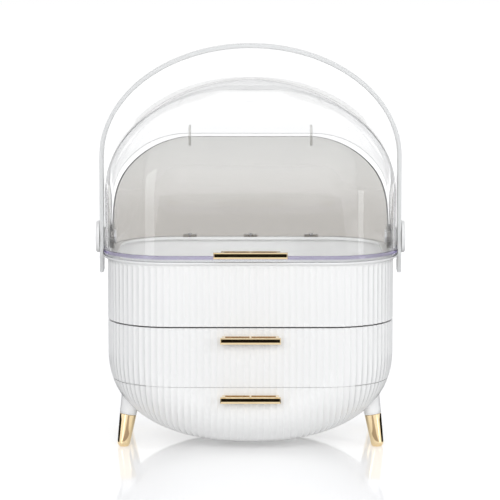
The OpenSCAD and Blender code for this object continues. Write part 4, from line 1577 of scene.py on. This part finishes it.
@dataclass(frozen=True)
class Fittings:
    """The inner pieces, whose shapes are right and only need softer edges and a finish.

    Attributes:
        plastic: Nodes of plain white plastic, with the body that each rides on.
        plastic_edge: Softening of their edges.
        steel: Nodes of steel, with the body that each rides on.
        steel_edge: Softening of their edges.
    """

    plastic: tuple[tuple[str, Body], ...] = (
        ("middle_shelf", Body.ORGANIZER), ("upper_runner_left", Body.ORGANIZER),
        ("upper_runner_right", Body.ORGANIZER), ("lower_runner_left", Body.ORGANIZER),
        ("lower_runner_right", Body.ORGANIZER), ("pivot_washer_left", Body.ORGANIZER),
        ("pivot_washer_right", Body.ORGANIZER), ("upper_drawer_box", Body.UPPER),
        ("lower_drawer_box", Body.LOWER))
    plastic_edge: float = 0.5 * MM
    steel: tuple[tuple[str, Body], ...] = (
        ("tie_screws", Body.ORGANIZER), ("rear_shell_screws", Body.ORGANIZER),
        ("pivot_pin_left", Body.ORGANIZER), ("pivot_pin_right", Body.ORGANIZER),
        ("leg_screws", Body.ORGANIZER), ("lid_pull_screws", Body.LID),
        ("upper_drawer_screws", Body.UPPER), ("lower_drawer_screws", Body.LOWER))
    steel_edge: float = 0.2 * MM

    def build(self) -> None:
        """Builds a softened copy of every inner piece."""
        for nodes, finish, edge in ((self.plastic, PLAIN_WHITE, self.plastic_edge),
                                    (self.steel, STEEL, self.steel_edge)):
            for node, body in nodes:
                bm = bmesh.new()
                bm.from_mesh(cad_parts[node].data)
                bmesh.ops.remove_doubles(bm, verts=bm.verts, dist=WELD)
                bmesh.ops.dissolve_limit(bm, angle_limit=math.radians(1), verts=bm.verts,
                                         edges=bm.edges)
                Work(f"soft_{node}", body, finish, (node,), edge=edge, edge_angle=50,
                     crisp=34).piece(bm)


# ---- Studio ----


WHITE: Colour = (1.0, 1.0, 1.0)


class Ray(Enum):
    """The kinds of light that a sheet can be shown to."""

    CAMERA = "camera"
    DIFFUSE = "diffuse"
    GLOSSY = "glossy"
    TRANSMISSION = "transmission"
    SHADOW = "shadow"


@dataclass(frozen=True)
class Sheet:
    """A flat sheet of the studio.

    Attributes:
        name: Its name.
        half: Its half-width and half-depth.
        at: Its middle.
        turn: How far a level sheet is turned about the upright, in degrees.
        glow: The strength of its glow.
    """

    name: str
    half: tuple[float, float]
    at: tuple[float, float, float]
    turn: float = 0.0
    glow: float = 0.0

    def lay(self, material: bpy.types.Material, pose: Matrix | None = None,
            only: Ray | None = None) -> None:
        """Lays the sheet.

        Args:
            material: Its material.
            pose: How it is turned from level, if it isn't level.
            only: The one kind of light that it is shown to, if not to all.
        """
        if pose is None:
            pose = Matrix.Rotation(math.radians(self.turn), 4, "Z")
        bm = bmesh.new()
        bmesh.ops.create_grid(bm, x_segments=1, y_segments=1, size=1.0)
        bmesh.ops.scale(bm, vec=(*self.half, 1.0), verts=bm.verts)
        bmesh.ops.transform(bm, matrix=Matrix.Translation(self.at) @ pose, verts=bm.verts)
        mesh = bpy.data.meshes.new(self.name)
        bm.to_mesh(mesh)
        bm.free()
        mesh.materials.append(material)
        made = bpy.data.objects.new(self.name, mesh)
        bpy.context.scene.collection.objects.link(made)
        if only is not None:
            for ray in Ray:
                setattr(made, f"visible_{ray.value}", ray is only)


@dataclass(frozen=True)
class Lamp:
    """A soft box.

    Attributes:
        name: Its name.
        at: Its place.
        aim: The place that it faces.
        size: Its width and height.
        power: Its power in watts.
    """

    name: str
    at: tuple[float, float, float]
    aim: tuple[float, float, float]
    size: tuple[float, float]
    power: float

    def hang(self) -> None:
        """Hangs the lamp, which mirrors and clear shells don't show."""
        data = bpy.data.lights.new(self.name, "AREA")
        data.shape = "RECTANGLE"
        data.size, data.size_y = self.size
        data.energy = self.power
        made = bpy.data.objects.new(self.name, data)
        made.location = self.at
        facing = Vector(self.aim) - Vector(self.at)
        made.rotation_euler = facing.to_track_quat("-Z", "Y").to_euler()
        made.visible_glossy = made.visible_transmission = False
        bpy.context.scene.collection.objects.link(made)


@dataclass(frozen=True)
class Studio:
    """The floor, the lamps, the world and the camera.

    Attributes:
        camera_at: Place of the camera.
        camera_pitch: Its tilt below the horizon, in degrees.
        lens: Its focal length in millimetres.
        sensor: The width of its sensor in millimetres.
        shift_x: Its sideways shift.
        clip: The nearest and the furthest that it sees.
        fill_colour: Colour of the world's soft fill.
        fill: Its strength.
        floor_sheet: The floor, whose glow shows only to rays that see it.
        floor_colours: The floor's darkest and lightest colour.
        floor_rough: Its lowest and highest roughness.
        dark_cards: Cards that give bright metal and the rim their dark bands.
        dark_colours: Their darkest and lightest colour.
        rose_cards: Cards that warm the reflections under the bowl.
        rose_colours: Their darkest and lightest colour.
        glows: Bright cards that face the legs and light the streaks of their tips.
        glow_ends: Colour of their cooler end.
        flags: Grey sheets behind the object, which the clear shells' bent edges show.
        flag_colours: Their darkest and lightest colour.
        flag_glow: Their strength.
        bounce: The light that a bright table throws up under the bowl.
        bounce_ends: Colour of its cooler end.
        clouds: Scales of the clouds on the floor, cards, glows, flags and bounce, per metre.
        lamps: The soft boxes.
    """

    camera_at: tuple[float, float, float] = (0.0, -3.09335, 0.600)
    camera_pitch: float = 7.55
    lens: float = 226.44
    sensor: float = 36.0
    shift_x: float = -0.001
    clip: tuple[float, float] = (0.05, 60.0)
    fill_colour: Colour = (0.93, 0.95, 1.0)
    fill: float = 0.45
    floor_sheet: Sheet = Sheet("studio_floor", (8.0, 8.0), (0, 0, 0), glow=0.30)
    floor_colours: tuple[Colour, Colour] = ((0.78, 0.78, 0.78), (0.80, 0.80, 0.80))
    floor_rough: tuple[float, float] = (0.05, 0.07)
    dark_cards: tuple[Sheet, ...] = (
        Sheet("front_card", (0.9, 1.0), (0, -1.33, 0.002)),
        Sheet("left_sheet", (0.42, 0.95), (-0.62, 1.1, 0.08)),
        Sheet("right_sheet", (0.42, 0.95), (0.62, 1.1, 0.08)),
        Sheet("left_foot_card", (0.19, 0.23), (-0.335, 0.185, 0.002)),
        Sheet("right_foot_card", (0.19, 0.23), (0.335, 0.185, 0.002)))
    dark_colours: tuple[Colour, Colour] = ((0.010, 0.009, 0.007), (0.016, 0.014, 0.011))
    rose_cards: tuple[Sheet, ...] = (
        Sheet("left_rose_card", (0.024, 0.135), (-0.096, -0.19, 0.0025), turn=9.0),
        Sheet("right_rose_card", (0.024, 0.135), (0.096, -0.19, 0.0025), turn=-9.0))
    rose_colours: tuple[Colour, Colour] = ((0.60, 0.53, 0.50), (0.66, 0.58, 0.54))
    glows: tuple[Sheet, ...] = (
        Sheet("left_glow", (0.15, 0.13), (-0.72, -0.87, 0.165), glow=3.0),
        Sheet("right_glow", (0.09, 0.07), (0.94, -0.64, 0.12), glow=4.0))
    glow_ends: Colour = (0.96, 0.97, 1.0)
    flags: tuple[Sheet, ...] = (
        Sheet("top_flag", (3.0, 0.9), (0, 3.0, 2.0)),
        Sheet("left_flag", (1.0, 0.9), (-1.85, 3.01, 0.92)),
        Sheet("right_flag", (1.0, 0.9), (1.85, 3.01, 0.92)))
    flag_colours: tuple[Colour, Colour] = ((0.36, 0.36, 0.37), (0.42, 0.42, 0.43))
    flag_glow: float = 1.0
    bounce: Sheet = Sheet("table_bounce", (0.14, 0.045), (0, -0.10, 0.0015), glow=0.75)
    bounce_ends: Colour = (0.97, 0.98, 1.0)
    clouds: tuple[float, float, float, float, float] = (3.0, 4.0, 5.0, 4.0, 6.0)
    lamps: tuple[Lamp, ...] = (
        Lamp("front_box", (0.0, -2.7, 1.1), (0, 0, 0.15), (1.5, 1.3), 29.0),
        Lamp("left_strip", (-0.9, -1.9, 0.7), (0, 0, 0.25), (0.3, 1.3), 6.5),
        Lamp("right_strip", (1.35, -1.35, 0.7), (0, 0, 0.25), (0.3, 1.3), 7.0),
        Lamp("back_box", (0.0, 2.6, 1.3), (0, 0, 0.2), (1.6, 1.2), 18.0),
        Lamp("top_box", (0.0, -0.3, 2.4), (0, 0, 0.2), (1.6, 1.6), 6.0))

    def build(self) -> None:
        """Builds the whole studio."""
        self.camera()
        self.world()
        self.floor()
        self.mirrored_cards()
        self.mirrored_glows()
        self.grey_flags()
        self.table_bounce()
        for lamp in self.lamps:
            lamp.hang()
        bpy.context.scene.view_settings.view_transform = "Standard"

    def camera(self) -> None:
        """Adds the camera."""
        data = bpy.data.cameras.new("camera")
        data.lens, data.sensor_width, data.shift_x = self.lens, self.sensor, self.shift_x
        data.clip_start, data.clip_end = self.clip
        made = bpy.data.objects.new("camera", data)
        made.location = self.camera_at
        made.rotation_euler = (math.radians(90 - self.camera_pitch), 0.0, 0.0)
        bpy.context.scene.collection.objects.link(made)
        bpy.context.scene.camera = made

    def world(self) -> None:
        """Makes the world white where it is seen, and a soft fill elsewhere."""
        recipe = Recipe(bpy.data.worlds.new("studio_world"), "ShaderNodeOutputWorld")
        fill = recipe.node("ShaderNodeBackground", Color=self.fill_colour, Strength=self.fill)
        white = recipe.node("ShaderNodeBackground", Color=WHITE, Strength=1.0)
        bpy.context.scene.world = recipe.done(
            recipe.either(recipe.any_ray(SEEING_RAYS), fill.outputs[0], white.outputs[0]))

    def floor(self) -> None:
        """Adds the pale floor, which shines a little and keeps the shadow."""
        recipe = Recipe.material("studio_floor")
        clouds = recipe.noise(self.clouds[0])
        body = recipe.node(
            "ShaderNodeBsdfPrincipled",
            Base_Color=recipe.tint(clouds, *self.floor_colours),
            Roughness=recipe.ramp(clouds, NOISE_MIDDLE, self.floor_rough)).outputs[0]
        glow, off = (recipe.node("ShaderNodeEmission", Color=WHITE, Strength=strength).outputs[0]
                     for strength in (self.floor_sheet.glow, 0.0))
        both = recipe.node("ShaderNodeAddShader")
        recipe.feed(both.inputs[0], body)
        recipe.feed(both.inputs[1], recipe.either(recipe.any_ray(SEEING_RAYS), off, glow))
        self.floor_sheet.lay(recipe.done(both.outputs[0]))

    def mirrored_cards(self) -> None:
        """Adds the matt cards that bright metal and glossy edges mirror."""
        for name, cards, colours in (("dark_card", self.dark_cards, self.dark_colours),
                                     ("rose_card", self.rose_cards, self.rose_colours)):
            recipe = Recipe.material(name)
            shade = recipe.tint(recipe.noise(self.clouds[1]), *colours)
            matt = recipe.node("ShaderNodeBsdfDiffuse", Color=shade).outputs[0]
            material = recipe.done(recipe.upper_side(matt))
            for card in cards:
                card.lay(material, only=Ray.GLOSSY)

    def glowing(self, recipe: Recipe, scale: float, colours: tuple[Colour, Colour],
                strength: float) -> bpy.types.NodeSocket:
        """A clouded glow.

        Args:
            recipe: The material in the making.
            scale: Scale of the clouds, per metre.
            colours: The glow's colours.
            strength: Its strength.

        Returns:
            The shader's output.
        """
        return recipe.node("ShaderNodeEmission", Strength=strength,
                           Color=recipe.tint(recipe.noise(scale), *colours)).outputs[0]

    def mirrored_glows(self) -> None:
        """Adds the bright cards, which face the middle from both sides."""
        for sheet in self.glows:
            recipe = Recipe.material(sheet.name)
            glow = self.glowing(recipe, self.clouds[2], (WHITE, self.glow_ends), sheet.glow)
            facing = Vector((0, 0, sheet.at[2])) - Vector(sheet.at)
            sheet.lay(recipe.done(glow), facing.to_track_quat("Z", "Y").to_matrix().to_4x4(),
                      only=Ray.GLOSSY)

    def grey_flags(self) -> None:
        """Adds the grey flags, upright behind the object."""
        recipe = Recipe.material("grey_flag")
        material = recipe.done(self.glowing(recipe, self.clouds[3], self.flag_colours,
                                            self.flag_glow))
        for sheet in self.flags:
            sheet.lay(material, Matrix.Rotation(math.pi / 2, 4, "X"), only=Ray.TRANSMISSION)

    def table_bounce(self) -> None:
        """Adds the light that a bright table throws up under the bowl."""
        recipe = Recipe.material("table_bounce")
        glow = self.glowing(recipe, self.clouds[4], (WHITE, self.bounce_ends),
                            self.bounce.glow)
        self.bounce.lay(recipe.done(recipe.upper_side(glow)), only=Ray.DIFFUSE)


PULLS = (
    Pull("gold_lid_pull", "lid_pull", Body.LID, bar_l=71.5 * MM, plate_l=57 * MM,
         face_y=102.2 * MM, z=198.4 * MM),
    Pull("gold_upper_pull", "upper_drawer_pull", Body.UPPER, bar_l=58.5 * MM,
         plate_l=55 * MM, face_y=100 * MM, z=115.2 * MM),
    Pull("gold_lower_pull", "lower_drawer_pull", Body.LOWER, bar_l=58.5 * MM,
         plate_l=55 * MM, face_y=100 * MM, z=57.4 * MM))


def main() -> None:
    """Builds the organizer and its studio."""
    logging.basicConfig(level=logging.INFO, format="%(message)s", stream=sys.stdout)
    Cabinet().build()
    Legs().build()
    Hood().build()
    Carrier().build()
    for pull in PULLS:
        pull.build()
    Fittings().build()
    Studio().build()
    LOG.info("the organizer is complete")


if __name__ == "__main__":
    main()
